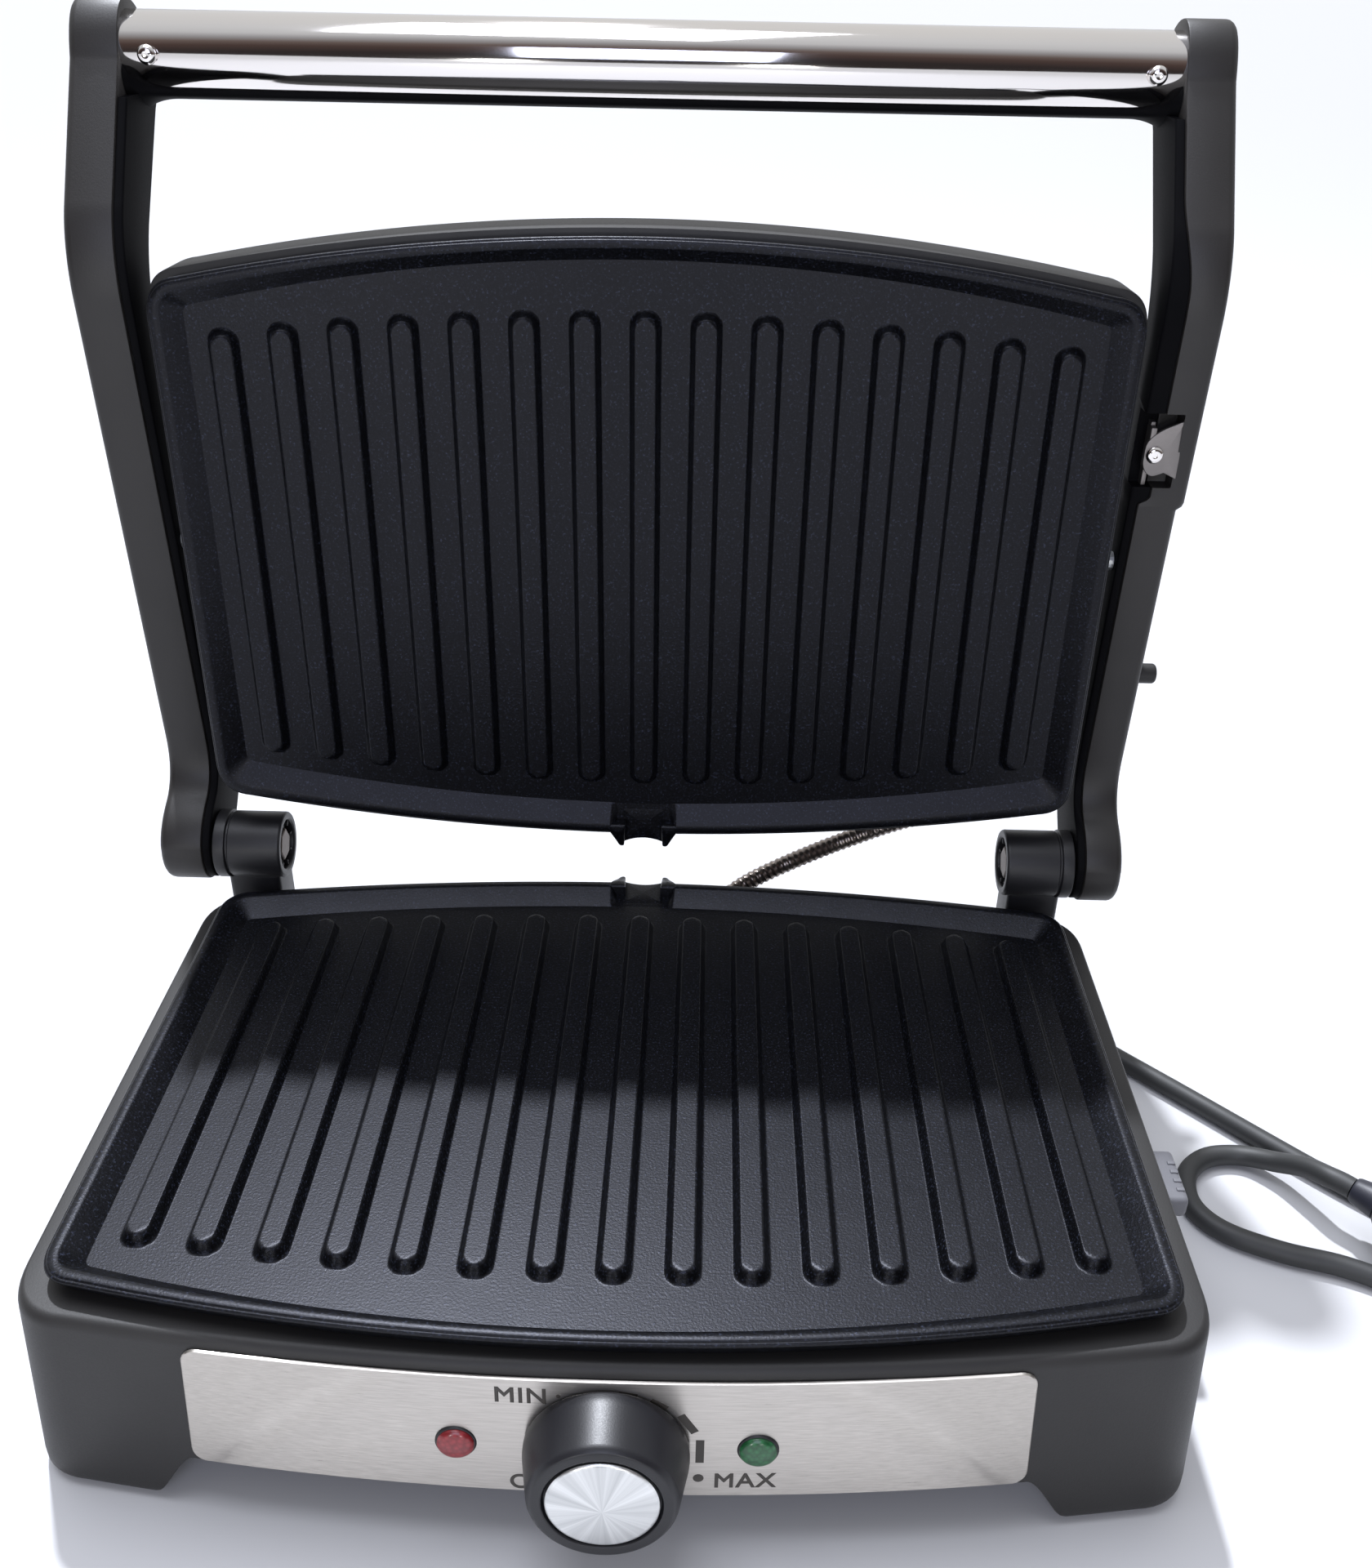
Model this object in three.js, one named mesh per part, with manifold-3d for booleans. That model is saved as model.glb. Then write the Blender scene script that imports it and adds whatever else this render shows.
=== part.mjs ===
// A contact grill (panini press) with ribbed plates, standing open, in millimetres.
// X is to the right, Y to the back and Z up. The design is laid out from the centre of the lower
// plate on the table top, and the last lines move the origin to the middle of the footprint.

import * as THREE from 'three';
import { mergeVertices } from 'three/addons/utils/BufferGeometryUtils.js';
import Module from 'manifold-3d';

const wasm = await Module();
wasm.setup();

// ---- driving dimensions ------------------------------------------------------------------

const GAP = 0.3; // clearance between pieces that touch
const PLATE_Z = 63; // height of the flat floor of the lower plate's cooking face
const DECK_Z = 60; // top of the base housing
const HINGE = { y: 99.5, z: 76.5 }; // axis of the lid, along X
const LEAN = 1.83; // degrees that the open head leans back
const HEAD = { y: 99.47, z: 184.46 }; // centre of the upper plate's floor, lid open
const PIVOT = { y: 112, z: 184.46 }; // axis that the head tilts on, along X
const HANDLE = { y: 143, z: 322.5, radius: 11 }; // axis of the handle tube, along X
const PANEL_TILT = 5.3; // degrees that the front wall leans back
const CONTROL_Z = 35; // height of the knob and the lamps at the panel
const ORIGIN_SHIFT = { x: 2.75, y: 18.34 }; // plate centre to the middle of the footprint

const plateOutline = {
  halfWidth: 143.5, front: 82, frontBow: 15.5, rear: 83, rearBow: 13, corner: 10,
};
const housingOutline = {
  halfWidth: 149.5, front: 85.3, frontBow: 11.8, rear: 88, rearBow: 11, corner: 15,
};
const plate = { floor: 2.7, rim: 4, rimWall: 5, undercut: 3 };
const rib = { count: 15, pitch: 17.6, width: 8, height: 3.6, halfLength: 69.5, bowFront: 7.6, bowRear: 8.3 };
const spout = { halfWidth: 10, reach: 102, notch: 5, channel: 88 };
const wall = 3.2;
const panel = { topHalf: 104.5, bottomHalf: 106, top: 57, bottom: 19, thickness: 0.8, corner: 4 };
const lampX = 37.2;
const knob = { base: 20.5, front: 18.2, length: 16, cap: 13.8, shaft: 3 };
const leg = { inside: 116, archTop: 17.5, archHalf: 106, bottom: 2 };
const foot = { x: 132, front: -76, rear: 78, radius: 8, height: 6 };
const arm = { outer: 166, seam: 151.2, inner: 148.6, hubRadius: 12.5 };
const barrel = { inner: 125, outer: 148.2, radius: 11.5 };
const cover = { depth: 38, wall: 3, clear: 1.5 };
const conduitRadius = 3.25;
const element = { radius: 3.1, halfX: 112, halfY: 62, bend: 14, leads: 20 };
const tray = { halfWidth: 50, front: 42, rear: 116.5, bottom: 22, top: 34, wall: 1.8 };
const latch = { y: -22.5, length: 20, z: 48, height: 7, reach: 159.5, travel: 9 };
const button = { y: 118, z: 142, radius: 3.4, flange: 5.4, root: 156.2, reach: 171.5 };
const cord = { radius: 3.4, coilX: 325, coilY: -57, coilRadius: 38, coilHeight: 14.2 };
const gland = { x: 60, y: 100.4, z: 27.5 };

// ---- materials ---------------------------------------------------------------------------

const finish = (color, roughness, metalness) =>
  new THREE.MeshStandardMaterial({ color, roughness, metalness });
const charcoal = finish(0x404144, 0.6, 0);
const armGrey = finish(0x55565e, 0.6, 0);
const darkPlastic = finish(0x2b2829, 0.7, 0);
const nonStick = finish(0x1c1c22, 0.4, 0.3);
const brushedSteel = finish(0xbdbbb8, 0.35, 1);
const chrome = finish(0xe6e2de, 0.08, 1);
const sheetSteel = finish(0xb4b6b8, 0.4, 1);
const rubber = finish(0x1a1a1a, 0.9, 0);
const redLens = finish(0xa8474b, 0.2, 0);
const greenLens = finish(0x3d8050, 0.2, 0);
const glowLamp = finish(0xd8a080, 0.3, 0);
const knobPlastic = finish(0x34343a, 0.5, 0);
const spunCap = finish(0xd8dada, 0.3, 1);
const cordRubber = finish(0x303030, 0.7, 0);
const heaterSteel = finish(0x6a6460, 0.5, 1);
const brass = finish(0xb08d4a, 0.3, 1);

// ---- small helpers -----------------------------------------------------------------------

const model = new THREE.Group();
const head = new THREE.Group(); // the upper plate and all that tilts with it
head.position.set(0, HEAD.y, HEAD.z);
head.rotation.set(THREE.MathUtils.degToRad(90 - LEAN), 0, Math.PI);
model.add(head);
model.updateMatrixWorld(true);

function place(name, geometry, material, parent = model) {
  const mesh = new THREE.Mesh(geometry, material);
  mesh.name = name;
  parent.add(mesh);
  return mesh;
}

function toSolid(geometry) {
  const bare = geometry.clone();
  bare.deleteAttribute('normal');
  bare.deleteAttribute('uv');
  const welded = mergeVertices(bare, 1e-4);
  return new wasm.Manifold(new wasm.Mesh({
    numProp: 3,
    vertProperties: new Float32Array(welded.attributes.position.array),
    triVerts: new Uint32Array(welded.index.array),
  }));
}

function toGeometry(solid) {
  const { vertProperties, triVerts } = solid.getMesh();
  const geometry = new THREE.BufferGeometry();
  geometry.setAttribute('position', new THREE.BufferAttribute(vertProperties, 3));
  geometry.setIndex(new THREE.BufferAttribute(triVerts, 1));
  return geometry;
}

const cut = (geometry, ...tools) =>
  toGeometry(tools.reduce((solid, tool) => solid.subtract(toSolid(tool)), toSolid(geometry)));
const join = (geometry, ...more) =>
  toGeometry(more.reduce((solid, piece) => solid.add(toSolid(piece)), toSolid(geometry)));

// Moves every vertex with change(vector), which edits the vector in place.
function reshape(geometry, change) {
  const position = geometry.attributes.position;
  const v = new THREE.Vector3();
  for (let i = 0; i < position.count; i += 1) {
    v.fromBufferAttribute(position, i);
    change(v);
    position.setXYZ(i, v.x, v.y, v.z);
  }
  return geometry;
}

const box = (x0, x1, y0, y1, z0, z1) =>
  new THREE.BoxGeometry(x1 - x0, y1 - y0, z1 - z0)
    .translate((x0 + x1) / 2, (y0 + y1) / 2, (z0 + z1) / 2);

// The X limits of a piece between two distances from the middle, on one side (-1 or 1).
const span = (side, near, far) => (side > 0 ? [near, far] : [-far, -near]);

const extrude = (shape, low, high, curveSegments = 6, steps = 1) =>
  new THREE.ExtrudeGeometry(shape, { depth: high - low, bevelEnabled: false, curveSegments, steps })
    .translate(0, 0, low);

// A cylinder along X between two places, centred on (y, z).
const rodX = (radius, x0, x1, y, z, sides = 24) =>
  new THREE.CylinderGeometry(radius, radius, Math.abs(x1 - x0), sides)
    .rotateZ(Math.PI / 2).translate((x0 + x1) / 2, y, z);

const rodZ = (radius, x, y, z0, z1, sides = 24) =>
  new THREE.CylinderGeometry(radius, radius, z1 - z0, sides)
    .rotateX(Math.PI / 2).translate(x, y, (z0 + z1) / 2);

// A turned piece about Z from [radius, height] pairs, first and last on the axis.
const turned = (profile, sides = 24) =>
  new THREE.LatheGeometry(profile.map(([r, h]) => new THREE.Vector2(r, h)), sides)
    .rotateX(Math.PI / 2);

// A round bar along a smooth curve through the points.
function bar(points, radius, steps, sides = 8, tension = 0.5) {
  const section = new THREE.Shape();
  for (let i = 0; i < sides; i += 1) {
    const a = (i + 0.5) / sides * 2 * Math.PI;
    section[i ? 'lineTo' : 'moveTo'](radius * Math.cos(a), radius * Math.sin(a));
  }
  const path = new THREE.CatmullRomCurve3(
    points.map((p) => new THREE.Vector3(...p)), false, 'catmullrom', tension);
  return new THREE.ExtrudeGeometry(section, { extrudePath: path, steps, bevelEnabled: false });
}

// Parabola height of a bowed edge: 1 at the middle, 0 at the ends.
const bow = (x, halfWidth) => 1 - (x / halfWidth) ** 2;

// A plan outline with bowed front and rear edges, straight sides and round corners,
// drawn the given distance inside the one that is named.
function bowed(o, inset = 0) {
  const w = o.halfWidth - inset;
  const c = Math.max(o.corner - inset, 2.5);
  const front = (x) => -(o.front - inset + o.frontBow * bow(x, w));
  const rear = (x) => o.rear - inset + o.rearBow * bow(x, w);
  const m = w - c;
  const shape = new THREE.Shape();
  shape.moveTo(-w, front(w) + c);
  shape.quadraticCurveTo(-w, front(w - c / 2), -m, front(m));
  shape.quadraticCurveTo(0, 2 * front(0) - front(m), m, front(m));
  shape.quadraticCurveTo(w, front(w - c / 2), w, front(w) + c);
  shape.lineTo(w, rear(w) - c);
  shape.quadraticCurveTo(w, rear(w - c / 2), m, rear(m));
  shape.quadraticCurveTo(0, 2 * rear(0) - rear(m), -m, rear(m));
  shape.quadraticCurveTo(-w, rear(w - c / 2), -w, rear(w) - c);
  shape.lineTo(-w, front(w) + c);
  return shape;
}

// A stack of one outline at the given heights, each vertex then moved by change(vector).
function stack(shape, heights, change, curveSegments = 6) {
  const steps = heights.length - 1;
  return reshape(extrude(shape, 0, steps, curveSegments, steps), (v) => {
    v.z = heights[Math.round(v.z)];
    change(v);
  });
}

// ---- cast plates -------------------------------------------------------------------------

// One ribbed casting: cooking face up, floor at z = 0, drain spout at the +Y edge.
function grillPlate() {
  const rimTop = plate.rim;
  const flange = stack(bowed(plateOutline), [-plate.floor, rimTop - 1.5, rimTop], (v) => {
    const drawIn = v.z < 0 ? plate.undercut : 0; // the outer wall slopes in below the rim
    v.x *= 1 - drawIn / plateOutline.halfWidth;
    v.y *= 1 - drawIn / plateOutline.front;
  }, 6);
  const pocket = stack(bowed(plateOutline, plate.rimWall), [0, rimTop + 1], () => {}, 6);
  const mouth = box(-spout.halfWidth, spout.halfWidth, 86, spout.reach, -plate.floor, rimTop);
  const channel = box(-spout.notch, spout.notch, spout.channel, spout.reach + 1, 0, rimTop + 1);
  const notch = rodZ(spout.notch, 0, spout.reach, -5, rimTop + 2, 16);
  const ribs = Array.from({ length: rib.count }, (_, i) => {
    const x = (i - (rib.count - 1) / 2) * rib.pitch;
    const u = bow(x, rib.pitch * (rib.count - 1) / 2);
    const r = rib.width / 2;
    const y0 = -rib.halfLength - rib.bowFront * u + r;
    const y1 = rib.halfLength + rib.bowRear * u - r;
    const bar2d = new THREE.Shape();
    bar2d.absarc(x, y1, r, 0, Math.PI);
    bar2d.absarc(x, y0, r, Math.PI, 2 * Math.PI);
    return extrude(bar2d, -0.5, rib.height, 3);
  });
  return cut(join(cut(flange, pocket), mouth, ...ribs), channel, notch);
}

// Horseshoe of sheathed heating bar that lies against the back of a plate at the given height.
function heatingBar(height) {
  const { halfX: a, halfY: b, bend: c, leads } = element;
  const route = [
    [-leads, b], [-a + c, b], [-a, b - c], [-a, 0], [-a, -b + c], [-a + c, -b],
    [0, -b], [a - c, -b], [a, -b + c], [a, 0], [a, b - c], [a - c, b], [leads, b],
  ];
  return bar(route.map(([x, y]) => [x, y, height]), element.radius, 32, 6);
}

// Open sheet pan that throws the heat back at the plate.
const heatPan = (z0, z1) => cut(
  extrude(bowed({ halfWidth: 123, front: 72, frontBow: 4, rear: 72, rearBow: 4, corner: 10 }), z0, z1, 3),
  extrude(bowed({ halfWidth: 121.8, front: 70.8, frontBow: 4, rear: 70.8, rearBow: 4, corner: 9 }),
    z0 + 1.2, z1 + 1, 3));

// ---- base --------------------------------------------------------------------------------

const quarterRound = (t) => Math.sqrt(Math.max(0, 1 - (1 - THREE.MathUtils.clamp(t, 0, 1)) ** 2));

// How far the front wall stands outside the deck outline at a height: a rounded shoulder, a
// wall that drafts outwards going down, and a soft toe.
function flare(z) {
  const shoulder = 2.9 * quarterRound((DECK_Z - z) / 3.4);
  const draft = 0.09 * Math.max(0, 57 - z);
  const toe = 1.8 * (1 - quarterRound((z - leg.bottom) / 4));
  return shoulder + draft - toe;
}

function flareWall(v) {
  const out = flare(THREE.MathUtils.clamp(v.z, leg.bottom, DECK_Z));
  v.x *= 1 + out / 2 / housingOutline.halfWidth;
  v.y *= v.y < 0 ? 1 + out / 97 : 1 + out / 2 / 99;
}

// Y of the front wall's outer face.
function frontWall(x, z) {
  const o = housingOutline;
  return -(o.front + o.frontBow * bow(x, o.halfWidth)) * (1 + flare(z) / 97);
}

// A rod along the panel's normal, through the front wall at the controls.
const controlRod = (radius, x, from, to, sides = 20) => onPanel(
  new THREE.CylinderGeometry(radius, radius, to - from, sides)
    .rotateX(Math.PI / 2).translate(0, 0, (from + to) / 2), x);

// Lays a piece made about +Z onto the front wall: its Z becomes the panel's outward normal.
function onPanel(geometry, x) {
  const tilt = THREE.MathUtils.degToRad(90 - PANEL_TILT);
  return geometry.rotateX(tilt).translate(x, frontWall(x, CONTROL_Z), CONTROL_Z);
}

function baseHousing() {
  const outside = stack(bowed(housingOutline),
    [leg.bottom, 4, 6, 57, 59, DECK_Z], flareWall, 5);
  const inside = stack(bowed(housingOutline, wall), [leg.bottom - 1, 6, DECK_Z - 3], flareWall, 5);
  const plateHole = extrude(bowed(plateOutline, 14), DECK_Z - 6, DECK_Z + 1, 5);
  const arch = new THREE.Shape();
  arch.moveTo(-leg.inside, 0);
  arch.lineTo(leg.inside, 0);
  arch.quadraticCurveTo(leg.inside - 3, leg.archTop * 0.7, leg.archHalf, leg.archTop);
  arch.lineTo(-leg.archHalf, leg.archTop);
  arch.quadraticCurveTo(-leg.inside + 3, leg.archTop * 0.7, -leg.inside, 0);
  const frontArch = extrude(arch, 70, 130, 4).rotateX(Math.PI / 2);
  const traySlot = box(-tray.halfWidth - 1, tray.halfWidth + 1, 80, 120, tray.bottom - 0.8, tray.top + 1.2);
  const latchSlot = box(140, 160, latch.y - latch.length / 2 - 1,
    latch.y + latch.length / 2 + latch.travel + 1, latch.z - latch.height / 2 - 0.5,
    latch.z + latch.height / 2 + 0.5);
  const cordHole = new THREE.CylinderGeometry(4.6, 4.6, 30, 16).translate(gland.x, gland.y, gland.z);
  return cut(outside, inside, plateHole, frontArch, traySlot, latchSlot, cordHole,
    controlRod(4, 0, -20, 20, 16), controlRod(4.2, -lampX, -20, 20, 16),
    controlRod(4.2, lampX, -20, 20, 16));
}

// Brushed sheet that follows the bowed front wall, with round corners.
function controlPanel() {
  const sheet = new THREE.BoxGeometry(2, 1, 1, 16, 1, 4);
  reshape(sheet, (v) => {
    const u = v.x; // -1 to 1 across
    const w = v.z + 0.5; // 0 to 1 upwards
    const z = THREE.MathUtils.lerp(panel.bottom, panel.top, w);
    const edge = Math.min(z - panel.bottom, panel.top - z, panel.corner);
    const drawIn = panel.corner - Math.sqrt(panel.corner ** 2 - (panel.corner - edge) ** 2);
    const half = THREE.MathUtils.lerp(panel.bottomHalf, panel.topHalf, w) - drawIn;
    v.x = u * half;
    v.z = z;
    const back = frontWall(v.x, z) - GAP;
    v.y = v.y > 0 ? back : back - panel.thickness;
  });
  return cut(sheet, controlRod(4, 0, -6, 6, 16), controlRod(4.2, -lampX, -6, 6, 16),
    controlRod(4.2, lampX, -6, 6, 16));
}

function bottomCover() {
  const sheet = stack(bowed(housingOutline, wall + 0.6), [18, 20.5], flareWall, 5);
  const slots = [-1, 1].flatMap((side) => Array.from({ length: 5 }, (_, i) =>
    box(side * 60 - 22, side * 60 + 22, -30 + i * 12, -26 + i * 12, 17, 22)));
  const rails = [-1, 1].map((side) => box(side * 52.2 - 1, side * 52.2 + 1, 45, 94, 20.2, 35));
  return cut(join(sheet, ...rails), ...slots);
}

place('base_housing', baseHousing(), charcoal);
place('base_bottom_cover', bottomCover(), darkPlastic);
place('control_panel', controlPanel(), brushedSteel);
place('lower_grill_plate', grillPlate().translate(0, 0, PLATE_Z), nonStick);
place('lower_heating_element', heatingBar(PLATE_Z - plate.floor - GAP - element.radius), heaterSteel);
place('lower_heat_reflector', heatPan(45.5, 53.5), sheetSteel);

for (const [end, y] of [['front', foot.front], ['rear', foot.rear]]) {
  for (const [side, x] of [['left', -foot.x], ['right', foot.x]]) {
    place(`foot_${end}_${side}`, turned([[0, 0], [foot.radius - 1, 0], [foot.radius, 1],
      [foot.radius, foot.height], [2.8, foot.height], [2.8, 17.7], [0, 17.7]], 20)
      .translate(x, y, 0), rubber);
  }
}

for (const [name, x, material] of [['power', -lampX, redLens], ['ready', lampX, greenLens]]) {
  place(`${name}_lens`, onPanel(turned([[0, -6], [3.8, -6], [3.8, 1.4], [4.7, 1.4],
    [4.7, 2], [3.6, 2.9], [0, 3.3]], 20), x), material);
  place(`${name}_lamp`, onPanel(turned([[0, -24], [2.6, -24], [2.6, -9], [0, -6.4]], 12), x), glowLamp);
}

place('thermostat_body', join(
  onPanel(new THREE.CylinderGeometry(13, 13, 9, 24).rotateX(Math.PI / 2).translate(0, 0, -9), 0),
  onPanel(box(-11, 11, -8, 8, -24, -12), 0)), sheetSteel);
place('thermostat_shaft', onPanel(turned([[0, -4.2], [knob.shaft, -4.2], [knob.shaft, 11], [0, 11]], 16), 0), brass);
place('control_knob', onPanel(turned([[0, 11.3], [knob.shaft + GAP, 11.3], [knob.shaft + GAP, 1.8],
  [knob.base, 1.8], [knob.base, 4.2], [knob.front, knob.length], [knob.front - 1.2, knob.length + 1.2],
  [knob.cap + 0.4, knob.length + 1.2], [knob.cap + 0.4, knob.length - 0.2], [0, knob.length - 0.2]], 24), 0),
  knobPlastic);
place('knob_cap', onPanel(turned([[0, knob.length + 0.1], [knob.cap, knob.length + 0.1],
  [knob.cap, knob.length + 1.1], [knob.cap - 0.7, knob.length + 1.6], [0, knob.length + 1.9]], 24), 0), spunCap);

place('storage_latch', join(
  box(143, latch.reach, latch.y - latch.length / 2, latch.y + latch.length / 2,
    latch.z - latch.height / 2, latch.z + latch.height / 2),
  box(141.5, 144, latch.y - latch.length / 2 - 3, latch.y + latch.length / 2 + 3,
    latch.z - latch.height / 2 - 3, latch.z + latch.height / 2 + 3)), armGrey);

place('drip_tray', cut(
  join(box(-tray.halfWidth, tray.halfWidth, tray.front, tray.rear, tray.bottom, tray.top),
    box(-18, 18, tray.rear - 1, tray.rear + 2, tray.bottom + 3, tray.top)),
  box(-tray.halfWidth + tray.wall, tray.halfWidth - tray.wall, tray.front + tray.wall,
    tray.rear - tray.wall, tray.bottom + tray.wall, tray.top + 1)), darkPlastic);

place('terminal_block', box(72, 100, 70, 84, 24, 36), finish(0xe8e4d8, 0.5, 0));
for (const [i, x] of [-90, 90].entries()) {
  place(`bottom_screw_${i + 1}`, turned([[0, 15.2], [4, 15.2], [4, 17.7], [0, 17.7]], 12)
    .translate(x, -60, 0), sheetSteel);
}

// ---- hinge -------------------------------------------------------------------------------

for (const [side, s] of [['left', -1], ['right', 1]]) {
  const knuckle = join(
    rodX(barrel.radius, s * barrel.inner, s * barrel.outer, HINGE.y, HINGE.z, 28),
    box(...span(s, 128, 146), 94.4, 110, 36, 70));
  place(`hinge_barrel_${side}`, cut(knuckle,
    rodX(8.6, s * (barrel.inner - 1), s * (barrel.inner + 3), HINGE.y, HINGE.z, 20),
    rodX(3.8, s * barrel.inner, s * (barrel.outer + 1), HINGE.y, HINGE.z, 16)), darkPlastic);
  place(`hinge_bolt_${side}`, join(
    rodX(3.5, s * (barrel.inner + 1.4), s * 160, HINGE.y, HINGE.z, 16),
    rodX(6, s * (barrel.inner + 0.8), s * (barrel.inner + 2.7), HINGE.y, HINGE.z, 12)), sheetSteel);
}

// ---- arms and handle ---------------------------------------------------------------------

// Side view of an arm in the plane of (y, z): a hub about the hinge, a bulge over it, a long
// limb that leans slightly forwards, and an upper part cranked back to the handle.
function armOutline(inset = 0) {
  const r = arm.hubRadius - inset;
  const shape = new THREE.Shape();
  shape.absarc(HINGE.y, HINGE.z, r, Math.PI * 0.92, Math.PI * 1.75);
  shape.quadraticCurveTo(134.5 - inset, 84, 134.5 - inset, 106);
  shape.lineTo(119.5 - inset, 252);
  shape.quadraticCurveTo(120.5 - inset, 266, 127.5 - inset, 277);
  shape.lineTo(148 - inset, 306);
  shape.quadraticCurveTo(158 - inset, 316, 157 - inset, 325);
  shape.quadraticCurveTo(154 - inset, 336.5 - inset, 143, 336.5 - inset);
  shape.quadraticCurveTo(135, 336 - inset, 130.5 + inset, 322);
  shape.lineTo(107.5 + inset, 286);
  shape.quadraticCurveTo(101.5 + inset, 276, 101.5 + inset, 262);
  shape.lineTo(108.8 + inset, 112);
  shape.quadraticCurveTo(109.5 + inset, 99, 101 + inset, 94);
  shape.quadraticCurveTo(90 + inset, 89, 87.4 + inset, 81);
  return shape;
}

// The outline carried along X between two distances from the middle, on one side.
function armSlab(side, near, far, inset) {
  const slab = new THREE.ExtrudeGeometry(armOutline(inset),
    { depth: far - near, bevelEnabled: false, curveSegments: 6 });
  slab.rotateY(Math.PI / 2).rotateX(Math.PI / 2); // the outline's (x, y) becomes (y, z)
  return side > 0 ? slab.translate(near, 0, 0) : slab.translate(-far, 0, 0);
}

const bracketWindow = box(140, 160.5, 95, 110, 211, 235); // the pivot bracket shows here
for (const [side, s] of [['left', -1], ['right', 1]]) {
  const bore = rodX(3.8, s * 140, s * 160.5, HINGE.y, HINGE.z, 16);
  const tubeSeat = rodX(HANDLE.radius + GAP, s * 140, s * 157, HANDLE.y, HANDLE.z, 20);
  const bracketRoom = box(...span(s, 148, 155), 105, 119.5, 176, 232);
  const shellCuts = [bore, tubeSeat, bracketRoom];
  if (s > 0) {
    shellCuts.push(bracketWindow);
    shellCuts.push(rodX(button.radius + 0.1, 152, 170, button.y, button.z, 16));
    shellCuts.push(rodX(button.flange + 0.6, 150, 160, button.y, button.z, 16));
  }
  place(`arm_shell_${side}`, cut(armSlab(s, arm.seam + GAP / 2, arm.outer, 0), ...shellCuts), armGrey);
  const coverCuts = [bore, tubeSeat, rodX(3.4, s * 140, s * 156, PIVOT.y, PIVOT.z, 16)];
  if (s > 0) coverCuts.push(bracketWindow);
  place(`arm_inner_cover_${side}`, cut(armSlab(s, arm.inner, arm.seam - GAP / 2, 0.6), ...coverCuts),
    darkPlastic);

  // Steel bracket inside the arm; the right one has a tab turned in towards the head.
  const strap = box(...span(s, 151.7, 153.2), 107, 118, 177, 231);
  const tab = join(box(151, 153.2, 103.6, 108, 214, 231), box(150.3, 160, 103.6, 105.2, 216, 231));
  const bracket = s > 0 ? join(strap, tab) : strap;
  place(`pivot_bracket_${side}`, cut(bracket, rodX(3.3, s * 150, s * 156, PIVOT.y, PIVOT.z, 16)), sheetSteel);
  place(`pivot_pin_${side}`, rodX(3, s * 141.4, s * 154, PIVOT.y, PIVOT.z, 16), sheetSteel);
}
place('bracket_screw_right', new THREE.CylinderGeometry(2.6, 2.6, 1.6, 12)
  .translate(153.2, 102.6, 222), chrome);

place('handle_tube', cut(
  rodX(HANDLE.radius, -156.5, 156.5, HANDLE.y, HANDLE.z, 32),
  rodX(HANDLE.radius - 1.2, -157.5, 157.5, HANDLE.y, HANDLE.z, 24)), chrome);
place('handle_core', rodX(HANDLE.radius - 1.6, -156, 156, HANDLE.y, HANDLE.z, 20), darkPlastic);
place('handle_underside', cut(
  box(-148.2, 148.2, HANDLE.y - 7, HANDLE.y + 7, HANDLE.z - 13.4, HANDLE.z - 6),
  rodX(HANDLE.radius + GAP, -160, 160, HANDLE.y, HANDLE.z, 32)), darkPlastic);
for (const [side, x] of [['left', -143.5], ['right', 143.5]]) {
  place(`handle_screw_${side}`, new THREE.CylinderGeometry(2.7, 2.7, 1.6, 14)
    .translate(x, HANDLE.y - HANDLE.radius - 0.9, HANDLE.z), chrome);
}

// Peg that frees the lid to fold flat; it is pushed into the right arm.
place('release_button', join(
  rodX(button.radius, button.root, button.reach, button.y, button.z, 16),
  rodX(button.flange, button.root, button.root + 1.2, button.y, button.z, 16)), charcoal);

// ---- head --------------------------------------------------------------------------------

const coverOutline = { ...plateOutline, halfWidth: plateOutline.halfWidth + cover.clear,
  front: plateOutline.front + cover.clear, rear: plateOutline.rear + cover.clear };
const coverTop = -plate.floor - GAP;

// Draws the back of the cover in towards its edges, as a moulded lid does.
function crown(v) {
  const t = THREE.MathUtils.clamp((-v.z - 20) / (cover.depth - 20), 0, 1);
  const drawIn = 14 * (1 - Math.sqrt(1 - t * t * 0.96));
  v.x *= 1 - drawIn / 145;
  v.y *= 1 - drawIn / 98;
}

function upperCover() {
  const levels = [-cover.depth, -cover.depth + 2, -32, -20, coverTop];
  const outside = stack(bowed(coverOutline), levels, crown, 5);
  const inside = stack(bowed(coverOutline, cover.wall), [-cover.depth + cover.wall, -30, -20, 1], crown, 4);
  const pin = head.worldToLocal(new THREE.Vector3(0, PIVOT.y, PIVOT.z));
  const pinHole = rodX(3.35, -160, 160, pin.y, pin.z, 16);
  const leadHole = rodX(4, -4, 4, 0, 0, 12).rotateZ(Math.PI / 2).translate(-106, 92, -16);
  return cut(outside, inside, pinHole, leadHole);
}

place('upper_cover', upperCover(), charcoal, head);
place('upper_grill_plate', grillPlate(), nonStick, head);
place('upper_heating_element', heatingBar(-plate.floor - GAP - element.radius), heaterSteel, head);
place('upper_heat_reflector', heatPan(-17.8, -9.8), sheetSteel, head);
place('lid_trim_plate', extrude(bowed({ halfWidth: 112, front: 58, frontBow: 10, rear: 58, rearBow: 8,
  corner: 12 }), -cover.depth - GAP - 0.8, -cover.depth - GAP, 6), brushedSteel, head);

// ---- leads -------------------------------------------------------------------------------

place('heater_lead_conduit', bar([[22, 102, 44], [22.4, 104.5, 44.2], [27, 110, 48], [38, 115, 55], [60, 118, 66],
  [84, 119, 77], [100, 117, 85], [105.5, 116, 91]], conduitRadius, 18, 8), heaterSteel);

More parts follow.
